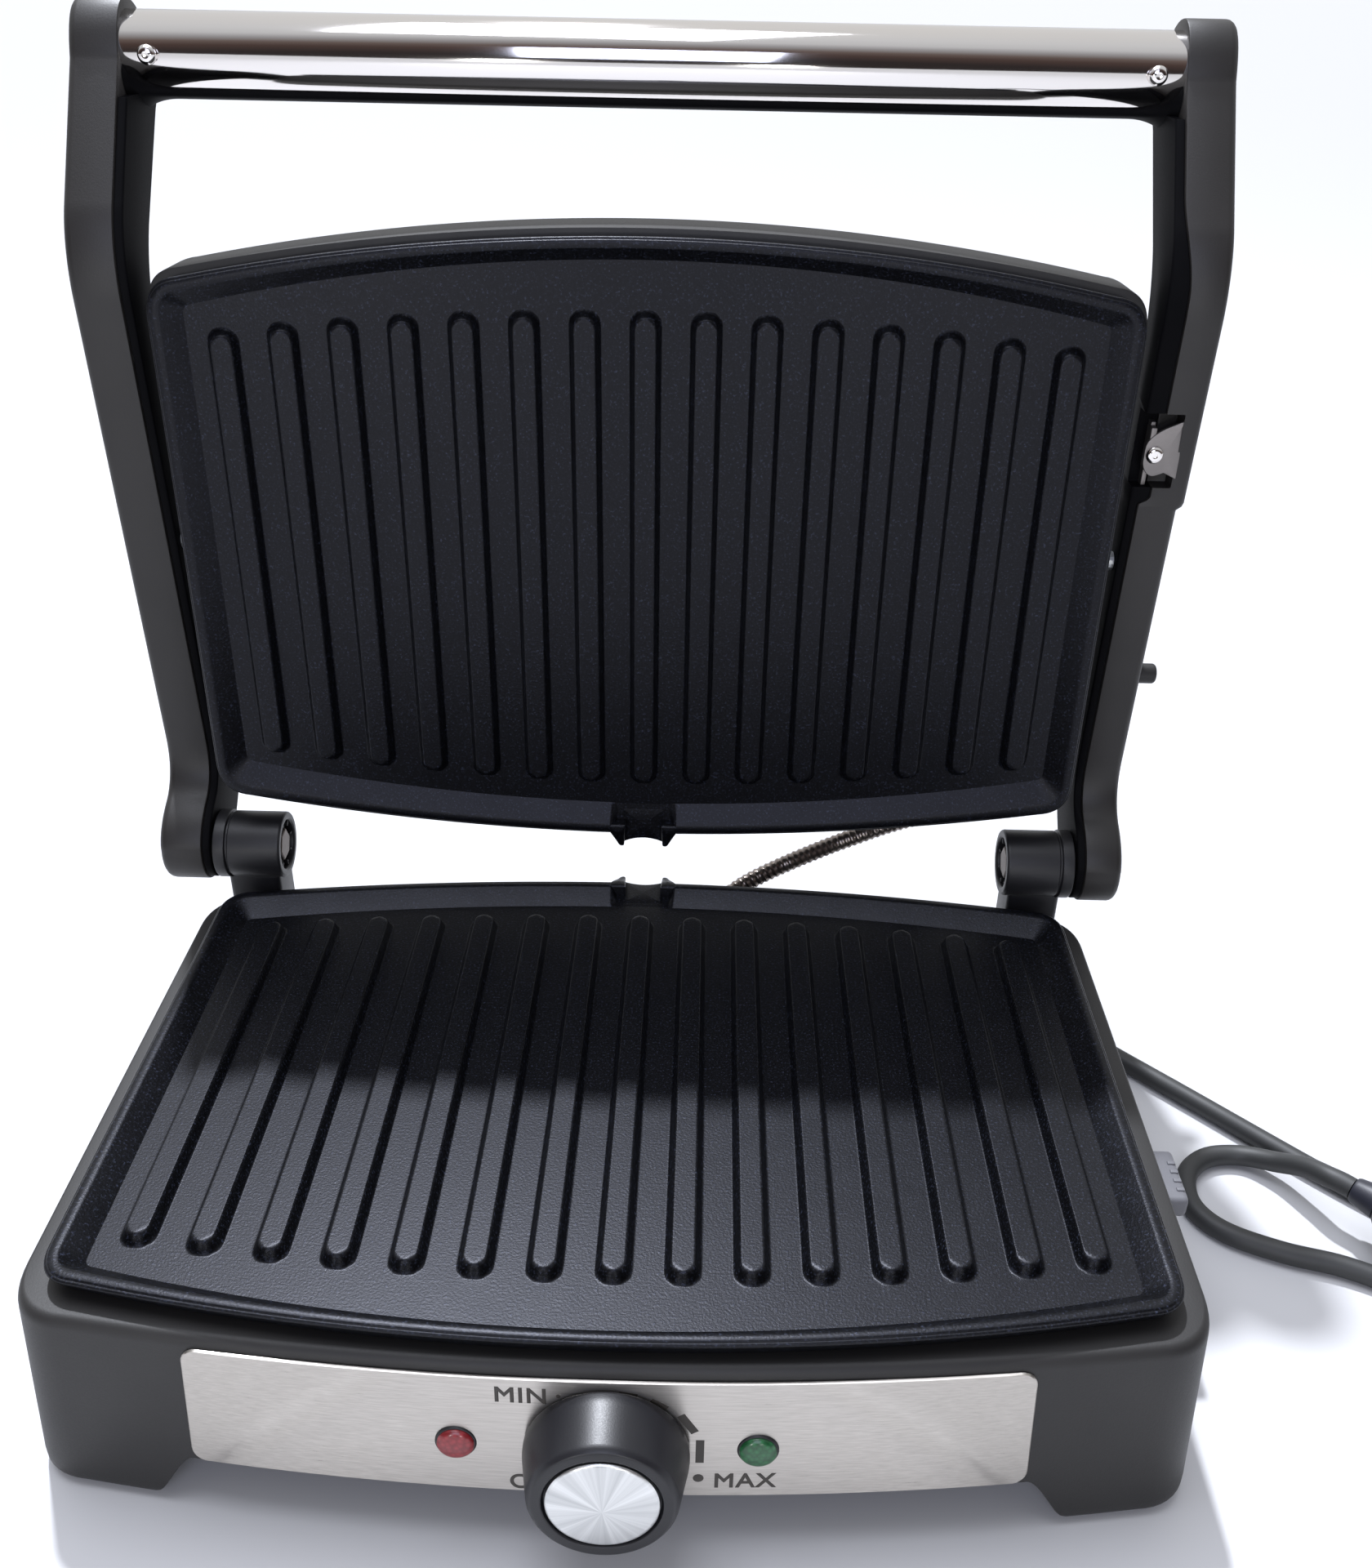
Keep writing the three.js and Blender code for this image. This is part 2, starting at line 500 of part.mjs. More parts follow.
place('cord_strain_relief', new THREE.LatheGeometry([[0, 0], [4.3, 0], [4.3, 3.4], [6.6, 3.4],
  [6.6, 5.4], [5.4, 6], [4.3, 28], [0, 28]].map(([r, h]) => new THREE.Vector2(r, h)), 16)
  .translate(gland.x, gland.y - 3.2, gland.z), cordRubber);

const cordStart = gland.y + 24.8 + GAP;
place('power_cord_near', bar([
  [60, cordStart, 27.5], [60, cordStart + 3, 27.4], [60.6, 134, 24.4], [62.5, 141, 18.5], [69.5, 152, 10.5], [80, 158.5, 5.2],
  [92, 158, 3.4], [104, 151, 3.4], [120, 136.5, 3.4], [150, 106.5, 3.4], [190, 66.5, 3.4],
  [236, 20.5, 3.4], [262, 0.2, 3.4], [284, -11, 3.4], [300, -15.6, 3.4],
], cord.radius, 28, 8), cordRubber);
place('cord_coil', new THREE.LatheGeometry([[-3.6, 0.2], [3.6, 0.2], [3.6, cord.coilHeight],
  [-3.6, cord.coilHeight], [-3.6, 0.2]].map(([r, h]) => new THREE.Vector2(cord.coilRadius + r, h)), 24)
  .rotateX(Math.PI / 2).translate(cord.coilX, cord.coilY, 0), cordRubber);
place('power_cord_far', bar([
  [280, -65.5, 3.4], [262, -47.6, 3.4], [246, -31.5, 3.4], [236, -19.5, 3.4], [222, -11.8, 3.4],
  [205, -6.8, 3.4], [190, 0.2, 3.4], [182.6, 8.4, 3.4], [181.2, 17.5, 3.4], [184.6, 27, 3.4],
  [193, 33.6, 3.4], [204, 34.2, 4], [213, 28.2, 7.4], [219, 20, 13.4], [222.9, 13.2, 16.4],
  [226.2, 9.9, 17], [228.3, 7.8, 17],
], cord.radius, 26, 8), cordRubber);

// Earthed plug lying on its side; its own Z runs from the cord entry to the pins.
function asPlug(geometry) {
  return geometry.rotateY(Math.PI / 2).rotateZ(-Math.PI / 4).translate(228.6, 7.5, 17);
}
place('plug_body', asPlug(turned([[0, 0], [4.2, 0], [5.6, 9], [8, 11], [14.2, 20], [16.2, 27],
  [16.8, 40], [0, 40]], 24)), cordRubber);
for (const [i, y] of [-9.5, 9.5].entries()) {
  place(`plug_pin_${i + 1}`, asPlug(turned([[0, 40.3], [2.4, 40.3], [2.4, 58], [1.6, 59.3], [0, 59.3]], 12)
    .translate(0, y, 0)), brass);
}

model.position.set(-ORIGIN_SHIFT.x, -ORIGIN_SHIFT.y, 0);
const root = new THREE.Group();
root.add(model);

export default root;
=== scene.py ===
"""A contact grill (panini press) standing open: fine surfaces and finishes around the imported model."""

import math

import bpy
import numpy as np
from mathutils import Matrix, Vector


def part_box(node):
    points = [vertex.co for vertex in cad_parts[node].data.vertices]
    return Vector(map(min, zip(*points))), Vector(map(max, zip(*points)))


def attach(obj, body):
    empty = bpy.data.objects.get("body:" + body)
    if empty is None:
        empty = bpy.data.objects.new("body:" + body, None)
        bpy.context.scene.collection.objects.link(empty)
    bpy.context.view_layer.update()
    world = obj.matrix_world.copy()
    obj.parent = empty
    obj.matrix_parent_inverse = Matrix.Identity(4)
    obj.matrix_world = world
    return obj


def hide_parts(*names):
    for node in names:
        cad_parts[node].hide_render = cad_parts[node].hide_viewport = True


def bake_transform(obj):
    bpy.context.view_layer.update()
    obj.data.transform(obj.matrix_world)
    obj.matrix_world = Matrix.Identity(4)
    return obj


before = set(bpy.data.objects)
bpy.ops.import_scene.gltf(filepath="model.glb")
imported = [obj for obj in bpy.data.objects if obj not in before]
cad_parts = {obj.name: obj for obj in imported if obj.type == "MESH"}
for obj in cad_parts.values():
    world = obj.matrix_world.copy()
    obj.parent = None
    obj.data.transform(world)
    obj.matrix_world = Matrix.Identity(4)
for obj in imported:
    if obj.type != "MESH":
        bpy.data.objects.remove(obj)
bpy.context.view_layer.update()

# ---- driving sizes, in millimetres from the middle of the lower plate on the table --------------
# X is to the right, Y to the back and Z up.

plate_low, plate_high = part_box("lower_grill_plate")
PLATE = dict(half=143.5, front=82.0, front_bow=15.5, rear=83.0, rear_bow=13.0, corner=10.0)
HOUSING = dict(half=149.5, front=85.3, front_bow=11.8, rear=88.0, rear_bow=11.0, corner=15.0)
LID = dict(PLATE, half=145.0, front=83.5, rear=84.5)
ORIGIN = np.array([
    500 * (plate_low.x + plate_high.x), 1000 * plate_low.y + PLATE["front"] + PLATE["front_bow"], 0.0])

PLATE_Z = 63.0       # floor of the lower plate's cooking face
DECK_Z = 60.0        # top of the base housing
RIM = 4.0            # height of a plate's rim over its floor
FLOOR_THICK = 2.7
RIBS, RIB_PITCH, RIB_HEIGHT = 15, 17.6, 3.6
HINGE_Y, HINGE_Z = 99.5, 76.5
LEAN = 1.83          # degrees that the open head leans back
HEAD_Y, HEAD_Z = 99.47, 184.46
HANDLE_Y, HANDLE_Z, HANDLE_R = 143.0, 322.5, 11.0
PANEL_TILT = 5.3     # degrees that the front wall leans back
CONTROL_Z = 35.0
LAMP_X = 37.2
LEG_BOTTOM, ARCH_TOP, WALL = 2.0, 17.5, 3.2
FRONT_REACH, REAR_REACH = 97.0, 198.0    # spans that the flare is shared over, ahead and behind
PANEL_GAP, PANEL_THICK = 0.3, 0.8        # the control panel's sheet outside the front wall
PANEL_FACE = PANEL_GAP + PANEL_THICK
OUTER_RIB = (RIBS - 1) / 2 * RIB_PITCH
RIB_HALF = 4.7       # half a rib's width at its foot
EDGE_INSET = 5.0     # how far the ribbed floor's edge lies inside the plate's
CREASE = 38.0        # degrees past which an edge shows sharp
CORD_R = 3.4


def metres(points):
    """Design millimetres to the row frame's metres."""
    return (np.asarray(points, float) + ORIGIN) / 1000


def clamp01(t):
    return np.clip(t, 0.0, 1.0)


def smooth(t):
    """Smooth step 3t^2 - 2t^3 of t clamped to 0..1."""
    t = clamp01(t)
    return t * t * (3 - 2 * t)


def bend(a, b, c, t):
    """The parabola from a to c that b pulls at, for a column t of fractions."""
    return (1 - t) ** 2 * a + 2 * t * (1 - t) * b + t ** 2 * c


def add_object(name, data):
    made = bpy.data.objects.new(name, data)
    bpy.context.scene.collection.objects.link(made)
    return made


# ---- camera --------------------------------------------------------------------------------------

def make_camera(place, yaw, pitch, roll, lens):
    """A camera at a place in design millimetres, turned by yaw, pitch (down) and roll in degrees."""
    yaw, pitch, roll = (math.radians(a) for a in (yaw, pitch, roll))
    ahead = Vector((math.sin(yaw) * math.cos(pitch), math.cos(yaw) * math.cos(pitch), -math.sin(pitch)))
    level = Vector((math.cos(yaw), -math.sin(yaw), 0))
    above = level.cross(ahead)
    right = math.cos(roll) * level + math.sin(roll) * above
    up = -math.sin(roll) * level + math.cos(roll) * above
    data = bpy.data.cameras.new("camera")
    data.sensor_fit = "VERTICAL"
    data.sensor_height = 36.0
    data.lens = lens
    camera = add_object("camera", data)
    turn = Matrix((right, up, -ahead)).transposed().to_4x4()
    camera.matrix_world = Matrix.Translation(Vector(metres(place))) @ turn
    bpy.context.scene.camera = camera


make_camera(place=(18.32, -327.45, 358.43), yaw=-0.54, pitch=30.686, roll=1.15, lens=33.48)

# ---- building meshes -----------------------------------------------------------------------------


def grid_faces(rows, cols, wrap_rows=False, wrap_cols=True):
    """Quads between neighbours of a rows x cols grid of points, joined at its ends where it wraps."""
    i, j = np.meshgrid(np.arange(rows if wrap_rows else rows - 1),
                       np.arange(cols if wrap_cols else cols - 1), indexing="ij")
    i, j = i.ravel(), j.ravel()
    i2, j2 = (i + 1) % rows, (j + 1) % cols
    return np.stack([i * cols + j, i * cols + j2, i2 * cols + j2, i2 * cols + j], -1)


def fan(ring, pole):
    """Triangles from a ring of indices to one pole, written as quads that repeat the pole."""
    return np.stack([ring, np.roll(ring, -1), np.full(len(ring), pole), np.full(len(ring), pole)], -1)


def ladder(ring):
    """Quads across a ring whose k-th point faces its k-th point from the end."""
    k = np.arange(len(ring) // 2 - 1)
    return np.stack([ring[k], ring[k + 1], ring[len(ring) - 2 - k], ring[len(ring) - 1 - k]], -1)


def loft(rings, cap="fan", closed=False):
    """A closed shell through rings (n, m, 3): joined end to start when closed, otherwise capped."""
    rings = np.asarray(rings, float)
    n, m = rings.shape[:2]
    points = rings.reshape(-1, 3)
    faces = [grid_faces(n, m, wrap_rows=closed)]
    if not closed:
        first, last = np.arange(m)[::-1], np.arange((n - 1) * m, n * m)
        if cap == "fan":
            points = np.concatenate([points, [rings[0].mean(0), rings[-1].mean(0)]])
            faces += [fan(first, n * m), fan(last, n * m + 1)]
        else:
            faces += [ladder(first), ladder(last)]
    return points, np.concatenate(faces)


def signed_volume(points, faces):
    """Sum of the tetrahedra from the origin to each face's two triangles."""
    a, b, c, d = (points[faces[:, k]] for k in range(4))
    return (np.einsum("ij,ij->i", a, np.cross(b, c)) + np.einsum("ij,ij->i", a, np.cross(c, d))).sum()


def smooth_shade(mesh, crease=CREASE):
    """Smooth shading but for edges sharper than crease degrees."""
    mesh.polygons.foreach_set("use_smooth", np.ones(len(mesh.polygons), bool))
    mesh.set_sharp_from_angle(angle=math.radians(crease))


def evaluated_mesh(piece):
    """A new mesh of a piece as its modifiers, or its curve's settings, make it."""
    bpy.context.view_layer.update()
    return bpy.data.meshes.new_from_object(piece.evaluated_get(bpy.context.evaluated_depsgraph_get()))


def build(name, shells, material, crease=CREASE):
    """One object from closed shells, their faces turned outwards."""
    points, faces, base = [], [], 0
    for p, f in shells:
        f = f if signed_volume(p, f) > 0 else f[:, ::-1]
        quads = f + base
        triangle = quads[:, 2] == quads[:, 3]
        flipped = quads[:, 0] == quads[:, 1]
        faces += quads[~triangle & ~flipped].tolist()
        faces += quads[triangle][:, :3].tolist() + quads[flipped][:, 1:].tolist()
        points.append(p)
        base += len(p)
    mesh = bpy.data.meshes.new(name)
    mesh.from_pydata(metres(np.concatenate(points)), [], faces)
    mesh.validate()
    smooth_shade(mesh, crease)
    mesh.materials.append(material)
    return add_object(name, mesh)


def seat(piece, body, slot, *nodes):
    """Rides on its body and stands for its CAD nodes, which it hides; its slot is not used."""
    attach(piece, body)
    if nodes:
        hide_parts(*nodes)
    return piece


def carve(piece, *cutters):
    """Cuts closed shells out of a piece with boolean modifiers, applied at once."""
    tools = []
    for k, shell in enumerate(cutters):
        tool = build(f"cutter_{k}", [shell], piece.data.materials[0])
        modifier = piece.modifiers.new(tool.name, "BOOLEAN")
        modifier.operation, modifier.solver, modifier.object = "DIFFERENCE", "EXACT", tool
        tools.append(tool)
    cut = evaluated_mesh(piece)
    piece.modifiers.clear()
    piece.data = cut
    smooth_shade(cut)
    for tool in tools:
        bpy.data.objects.remove(tool)
    return piece


def fillet(profile, steps=5):
    """A polyline of (a, b) or (a, b, radius): each corner with a radius becomes a short curve."""
    out = []
    for k, corner in enumerate(profile):
        p = np.array(corner[:2], float)
        if len(corner) < 3 or k in (0, len(profile) - 1):
            out.append(p)
            continue
        before, after = np.array(profile[k - 1][:2], float), np.array(profile[k + 1][:2], float)
        to_before, to_after = before - p, after - p
        reach = min(corner[2], 0.49 * np.linalg.norm(to_before), 0.49 * np.linalg.norm(to_after))
        a = p + reach * to_before / np.linalg.norm(to_before)
        b = p + reach * to_after / np.linalg.norm(to_after)
        t = np.linspace(0, 1, steps + 1)[:, None]
        out.extend(bend(a, p, b, t))
    return np.array(out)


def axes_about(axis):
    """Two directions square to an axis, the first as level as can be."""
    axis = np.array(axis, float) / np.linalg.norm(axis)
    side = np.cross(axis, (0, 0, 1) if abs(axis[2]) < 0.9 else (0, 1, 0))
    side /= np.linalg.norm(side)
    return axis, side, np.cross(axis, side)


def lathe(profile, centre, axis=(0, 0, 1), sides=96):
    """A profile of (radius, height) pairs turned about the axis through centre. It starts and ends
    on the axis, where its rings close to poles."""
    axis, side, up = axes_about(axis)
    profile = fillet(profile)
    a = np.linspace(0, 2 * np.pi, sides, endpoint=False)
    spokes = np.cos(a)[:, None] * side + np.sin(a)[:, None] * up
    rings = centre + profile[1:-1, 0, None, None] * spokes + profile[1:-1, 1, None, None] * axis
    points, faces = loft(rings)
    points[-2] = centre + profile[0, 1] * axis
    points[-1] = centre + profile[-1, 1] * axis
    return points, faces


def rounded_rectangle(low, high, inset, r, steps):
    """A plan rectangle drawn in by inset, anticlockwise, with corners of radius r in equal steps."""
    low, high = np.array(low[:2], float), np.array(high[:2], float)
    turn = np.linspace(0, np.pi / 2, steps + 1)
    a = np.concatenate([turn + k * np.pi / 2 for k in range(4)])
    sign = np.repeat([[1, 1], [-1, 1], [-1, -1], [1, -1]], steps + 1, axis=0)
    spokes = np.column_stack([np.cos(a), np.sin(a)])
    return (low + high) / 2 + sign * ((high - low) / 2 - inset - r) + r * spokes


def block(low, high, radius=1.0, steps=4):
    """A box with rounded edges: rounded rectangles stacked up Z, drawn in at both ends."""
    turn = np.linspace(0, np.pi / 2, steps + 1)
    levels = [(low[2] + radius - radius * np.sin(t), radius * (1 - np.cos(t))) for t in turn[::-1]]
    levels += [(high[2] - radius + radius * np.sin(t), radius * (1 - np.cos(t))) for t in turn]
    return loft([at_height(rounded_rectangle(low, high, inset, max(radius - inset, 0.02), steps), z)
                 for z, inset in levels])


def pen(start, *moves, step=1.2):
    """Points about step apart along straight moves, (end,), and curved ones, (control, end)."""
    at = np.array(start, float)
    out = [at[None]]
    for move in moves:
        end = np.array(move[-1], float)
        control = np.array(move[0], float) if len(move) == 2 else (at + end) / 2
        n = max(2, math.ceil((np.linalg.norm(control - at) + np.linalg.norm(end - control)) / step))
        t = np.linspace(0, 1, n + 1)[1:, None]
        out.append(bend(at, control, end, t))
        at = end
    return np.concatenate(out)


def smooth_path(points, step):
    """A uniform Catmull-Rom curve through the points, sampled about step apart."""
    p = np.array(points, float)
    p = np.concatenate([[2 * p[0] - p[1]], p, [2 * p[-1] - p[-2]]])
    out = [p[1][None]]
    for a, b, c, d in zip(p[:-3], p[1:-2], p[2:-1], p[3:]):
        n = max(2, math.ceil(np.linalg.norm(c - b) / step))
        t = np.linspace(0, 1, n + 1)[1:, None]
        out.append(0.5 * (2 * b + (c - a) * t + (2 * a - 5 * b + 4 * c - d) * t ** 2
                          + (3 * b - a - 3 * c + d) * t ** 3))
    return np.concatenate(out)


def tube(path, radius, sides=16):
    """A round tube along a path that is never upright; radius may change along it."""
    tangent = np.gradient(path, axis=0)
    tangent /= np.linalg.norm(tangent, axis=1)[:, None]
    side = np.cross(tangent, (0, 0, 1))
    side /= np.linalg.norm(side, axis=1)[:, None]
    up = np.cross(side, tangent)
    a = np.linspace(0, 2 * np.pi, sides, endpoint=False)
    r = np.broadcast_to(radius, len(path))[:, None, None]
    spokes = np.cos(a)[None, :, None] * side[:, None] + np.sin(a)[None, :, None] * up[:, None]
    return loft(path[:, None] + r * spokes)


def outline(o, inset=0.0, side=60, front_extra=()):
    """A plan outline with parabolic front and rear edges, straight sides and round corners. It is
    drawn in by inset, one width or three for the sides, front and rear, and its points run
    anticlockwise from the front left corner."""
    at_side, at_front, at_rear = np.broadcast_to(inset, 3)
    w = o["half"] - at_side
    c = max(o["corner"] - at_side, 2.5)
    m = w - c

    def front(x):
        return -(o["front"] - at_front + o["front_bow"] * (1 - (x / w) ** 2))

    def rear(x):
        return o["rear"] - at_rear + o["rear_bow"] * (1 - (x / w) ** 2)

    def corner(*points):
        return bend(*np.array(points), np.linspace(0, 1, 13)[1:-1, None])

    x = np.unique(np.concatenate([np.linspace(-1, 1, side + 1), front_extra])) * m
    y = np.linspace(front(w) + c, rear(w) - c, 41)
    return np.concatenate([
        np.column_stack([x, front(x)]),
        corner((m, front(m)), (w, front(w - c / 2)), (w, front(w) + c)),
        np.column_stack([np.full(41, w), y]),
        corner((w, rear(w) - c), (w, rear(w - c / 2)), (m, rear(m))),
        np.column_stack([x[::-1], rear(x[::-1])]),
        corner((-m, rear(m)), (-w, rear(w - c / 2)), (-w, rear(w) - c)),
        np.column_stack([np.full(41, -w), y[::-1]]),
        corner((-w, front(w) + c), (-w, front(w - c / 2)), (-m, front(m))),
    ])


def resample(line, count):
    along = np.concatenate([[0], np.cumsum(np.linalg.norm(np.diff(line, axis=0), axis=1))])
    at = np.linspace(0, along[-1], count)
    return np.column_stack([np.interp(at, along, line[:, k]) for k in range(line.shape[1])])


def inset_2d(line, inset):
    """A closed anticlockwise line moved inwards along its own normals."""
    tangent = np.roll(line, -1, axis=0) - np.roll(line, 1, axis=0)
    tangent /= np.linalg.norm(tangent, axis=1)[:, None]
    return line - inset * np.column_stack([tangent[:, 1], -tangent[:, 0]])


def at_height(xy, z):
    return np.column_stack([xy, np.broadcast_to(z, len(xy))])


def head_place(points):
    """From the upper plate's own frame, cooking face up, to its place in the open lid."""
    x, y, z = (-points[:, 0], -points[:, 1], points[:, 2])
    a = math.radians(90 - LEAN)
    return np.column_stack([
        x, HEAD_Y + y * math.cos(a) - z * math.sin(a), HEAD_Z + y * math.sin(a) + z * math.cos(a)])


# ---- materials -----------------------------------------------------------------------------------


def linear(code, alpha=1.0):
    """An sRGB hex colour such as "bdbbb8" as linear red, green, blue and alpha."""
    s = np.array([int(code[k:k + 2], 16) for k in (0, 2, 4)]) / 255
    rgb = np.where(s <= 0.04045, s / 12.92, ((s + 0.055) / 1.055) ** 2.4)
    return (*rgb, alpha)


def add(tree, kind, settings=None, **links):
    """Adds a node, sets its attributes and inputs from settings, and links inputs by name."""
    node = tree.nodes.new(kind)
    for key, value in (settings or {}).items():
        if hasattr(node, key) and key not in node.inputs:
            setattr(node, key, value)
        else:
            node.inputs[key].default_value = value
    for key, socket in links.items():
        tree.links.new(socket, node.inputs[key.replace("_", " ")])
    return node


def finish(name, settings):
    """A material whose shader has the given settings; returns it with its tree and shader."""
    material = bpy.data.materials.new(name)
    material.use_nodes = True
    tree = material.node_tree
    shader = tree.nodes["Principled BSDF"]
    for key, value in settings.items():
        shader.inputs[key].default_value = value
    return material, tree, shader


def grain(tree, size_mm, stretch=(1, 1, 1), detail=3.0):
    """Noise in object space whose grains are about size_mm across, stretched by three factors."""
    place = add(tree, "ShaderNodeTexCoord")
    lay = add(tree, "ShaderNodeMapping", {"Scale": tuple(1000 / size_mm / s for s in stretch)},
              Vector=place.outputs["Object"])
    return add(tree, "ShaderNodeTexNoise", {"Scale": 1.0, "Detail": detail, "Roughness": 0.6},
               Vector=lay.outputs["Vector"])


def ramp(tree, value, *stops):
    """A colour ramp of (position, hex colour) stops over a value."""
    node = add(tree, "ShaderNodeValToRGB", None, Fac=value)
    elements = node.color_ramp.elements
    while len(elements) < len(stops):
        elements.new(0.5)
    for element, (position, code) in zip(elements, stops):
        element.position = position
        element.color = linear(code)
    return node.outputs["Color"]


def relief(tree, shader, height, depth_mm, strength=1.0):
    """A bump of the given depth over the shader."""
    bump = add(tree, "ShaderNodeBump", {"Distance": depth_mm / 1000, "Strength": strength}, Height=height)
    tree.links.new(bump.outputs["Normal"], shader.inputs["Normal"])


def mottle(tree, shader, value, low, high):
    """Drives the shader's roughness between low and high."""
    node = add(tree, "ShaderNodeMapRange", {"To Min": low, "To Max": high}, Value=value)
    tree.links.new(node.outputs["Result"], shader.inputs["Roughness"])


def tint(tree, shader, value, *stops):
    """Colours the shader by a ramp over a value."""
    tree.links.new(ramp(tree, value, *stops), shader.inputs["Base Color"])


def moulded_plastic(name, dark, light, roughness, grain_mm=0.55, depth_mm=0.035, level=0.4):
    """Injection moulded thermoset or ABS from a spark-eroded tool: a matt skin with a fine even
    grain, which spreads its highlights, and faint cloudy flow marks tens of millimetres wide."""
    material, tree, shader = finish(name, {
        "Roughness": roughness, "IOR": 1.5, "Specular IOR Level": level})
    flow = grain(tree, 38, detail=2)
    tint(tree, shader, flow.outputs["Fac"], (0.3, dark), (0.7, light))
    fine = grain(tree, grain_mm)
    mottle(tree, shader, fine.outputs["Fac"], roughness - 0.07, roughness + 0.09)
    relief(tree, shader, fine.outputs["Fac"], depth_mm)
    return material


def non_stick_coat():
    """PTFE-based coat sprayed on cast aluminium: near black, softly glossy, with fine mineral
    flecks and an orange-peel skin. Flecks are drawn 0.7 mm across so that they show."""
    material, tree, shader = finish("non_stick_coat_on_cast_aluminium", {
        "Roughness": 0.36, "IOR": 1.36, "Specular IOR Level": 0.36,
        "Specular Tint": linear("f0f2ff")})
    flecks = grain(tree, 0.7, detail=2)
    tint(tree, shader, flecks.outputs["Fac"], (0.44, "040405"), (0.6, "0b0c10"), (0.74, "2b2f3d"))
    mottle(tree, shader, grain(tree, 9).outputs["Fac"], 0.33, 0.42)
    relief(tree, shader, flecks.outputs["Fac"], 0.06)
    return material


def brushed_steel():
    """Stainless sheet drawn along a belt: hair lines that run one way blur its reflections across
    them. Lines are 0.35 mm apart, coarser than real ones, so that they show."""
    material, tree, shader = finish("brushed_stainless_steel", {
        "Base Color": linear("c9c7c3"), "Metallic": 1.0, "Roughness": 0.34, "Anisotropic": 0.85,
        "Anisotropic Rotation": 0.25})
    lines = grain(tree, 0.35, stretch=(60, 1, 1), detail=4)
    tint(tree, shader, lines.outputs["Fac"], (0.3, "b2ada6"), (0.7, "c6c1ba"))
    mottle(tree, shader, lines.outputs["Fac"], 0.24, 0.36)
    relief(tree, shader, lines.outputs["Fac"], 0.012)
    tangent = add(tree, "ShaderNodeTangent", {"direction_type": "RADIAL", "axis": "Z"})
    tree.links.new(tangent.outputs["Tangent"], shader.inputs["Tangent"])
    return material


def chrome_plate():
    """Bright chrome on drawn steel tube: mirror-like, with faint handling haze in soft patches."""
    material, tree, shader = finish("chrome_plated_steel", {
        "Base Color": linear("e2dedb"), "Metallic": 1.0, "Roughness": 0.07})
    haze = grain(tree, 22, stretch=(3, 1, 1))
    mottle(tree, shader, haze.outputs["Fac"], 0.04, 0.12)
    return material


def plain_metal(name, code, roughness, grain_mm=0.8):
    """Rolled, turned or heat-darkened bare metal: one tone with a fine rolled grain."""
    material, tree, shader = finish(name, {
        "Base Color": linear(code), "Metallic": 1.0, "Roughness": roughness})
    fine = grain(tree, grain_mm, stretch=(3, 1, 1))
    mottle(tree, shader, fine.outputs["Fac"], roughness - 0.08, roughness + 0.08)
    relief(tree, shader, fine.outputs["Fac"], 0.01)
    return material


def spun_aluminium(centre):
    """Aluminium disc faced on a lathe: rings of tool marks that fan the light into bright and dim
    wedges. A wave of scale s repeats every 2 pi / (20 s), so the rings are 2.8 mm apart, coarser
    than real ones; the wedges are painted highlight and shade, a slow noise over the angle that
    lightens and darkens the base colour."""
    material, tree, shader = finish("spun_aluminium", {
        "Base Color": linear("dcdcdb"), "Metallic": 1.0, "Roughness": 0.3})
    place = add(tree, "ShaderNodeTexCoord")
    centred = add(tree, "ShaderNodeMapping", {
        "Location": tuple(-c for c in metres(centre))}, Vector=place.outputs["Object"])
    parts = add(tree, "ShaderNodeSeparateXYZ", None, Vector=centred.outputs["Vector"])
    angle = add(tree, "ShaderNodeMath", {"operation": "ARCTAN2"})
    tree.links.new(parts.outputs["Z"], angle.inputs[0])
    tree.links.new(parts.outputs["X"], angle.inputs[1])
    sine = add(tree, "ShaderNodeMath", {"operation": "SINE"}, Value=angle.outputs[0])
    cosine = add(tree, "ShaderNodeMath", {"operation": "COSINE"}, Value=angle.outputs[0])
    round_the_disc = add(tree, "ShaderNodeCombineXYZ", None, X=cosine.outputs[0], Y=sine.outputs[0])
    # painted highlight and shade: bright and dim wedges of reflected light drawn into the base colour
    painted_highlight_wedges = add(tree, "ShaderNodeTexNoise", {"Scale": 2.6, "Detail": 5.0, "Roughness": 0.65},
                 Vector=round_the_disc.outputs["Vector"])
    tint(tree, shader, painted_highlight_wedges.outputs["Fac"], (0.3, "b2b4b4"), (0.5, "cbcccb"), (0.66, "e2e3e2"))
    rings = add(tree, "ShaderNodeTexWave", {
        "wave_type": "RINGS", "rings_direction": "SPHERICAL", "Scale": 1000 / 9, "Distortion": 0.0},
        Vector=centred.outputs["Vector"])
    relief(tree, shader, rings.outputs["Fac"], 0.01, 0.5)
    return material


def soft_rubber(name, code, roughness):
    """Extruded or moulded rubber and soft PVC: dull, even, with a faint bloom in patches."""
    material, tree, shader = finish(name, {"Base Color": linear(code), "Roughness": roughness})
    bloom = grain(tree, 14, detail=2)
    mottle(tree, shader, bloom.outputs["Fac"], roughness - 0.08, roughness + 0.08)
    relief(tree, shader, grain(tree, 0.6).outputs["Fac"], 0.02)
    return material


def tinted_lens(name, dark, light):
    """Tinted polycarbonate over an unlit lamp: a softly glossy dome whose 1.3 mm prisms mottle its
    colour."""
    material, tree, shader = finish(name, {"Roughness": 0.3, "Coat Weight": 0.25, "Coat Roughness": 0.1})
    prisms = add(tree, "ShaderNodeTexVoronoi", {"Scale": 1000 / 1.3},
                 Vector=add(tree, "ShaderNodeTexCoord").outputs["Object"])
    tint(tree, shader, prisms.outputs["Distance"], (0.1, light), (0.7, dark))
    relief(tree, shader, prisms.outputs["Distance"], 0.05, 0.3)
    return material


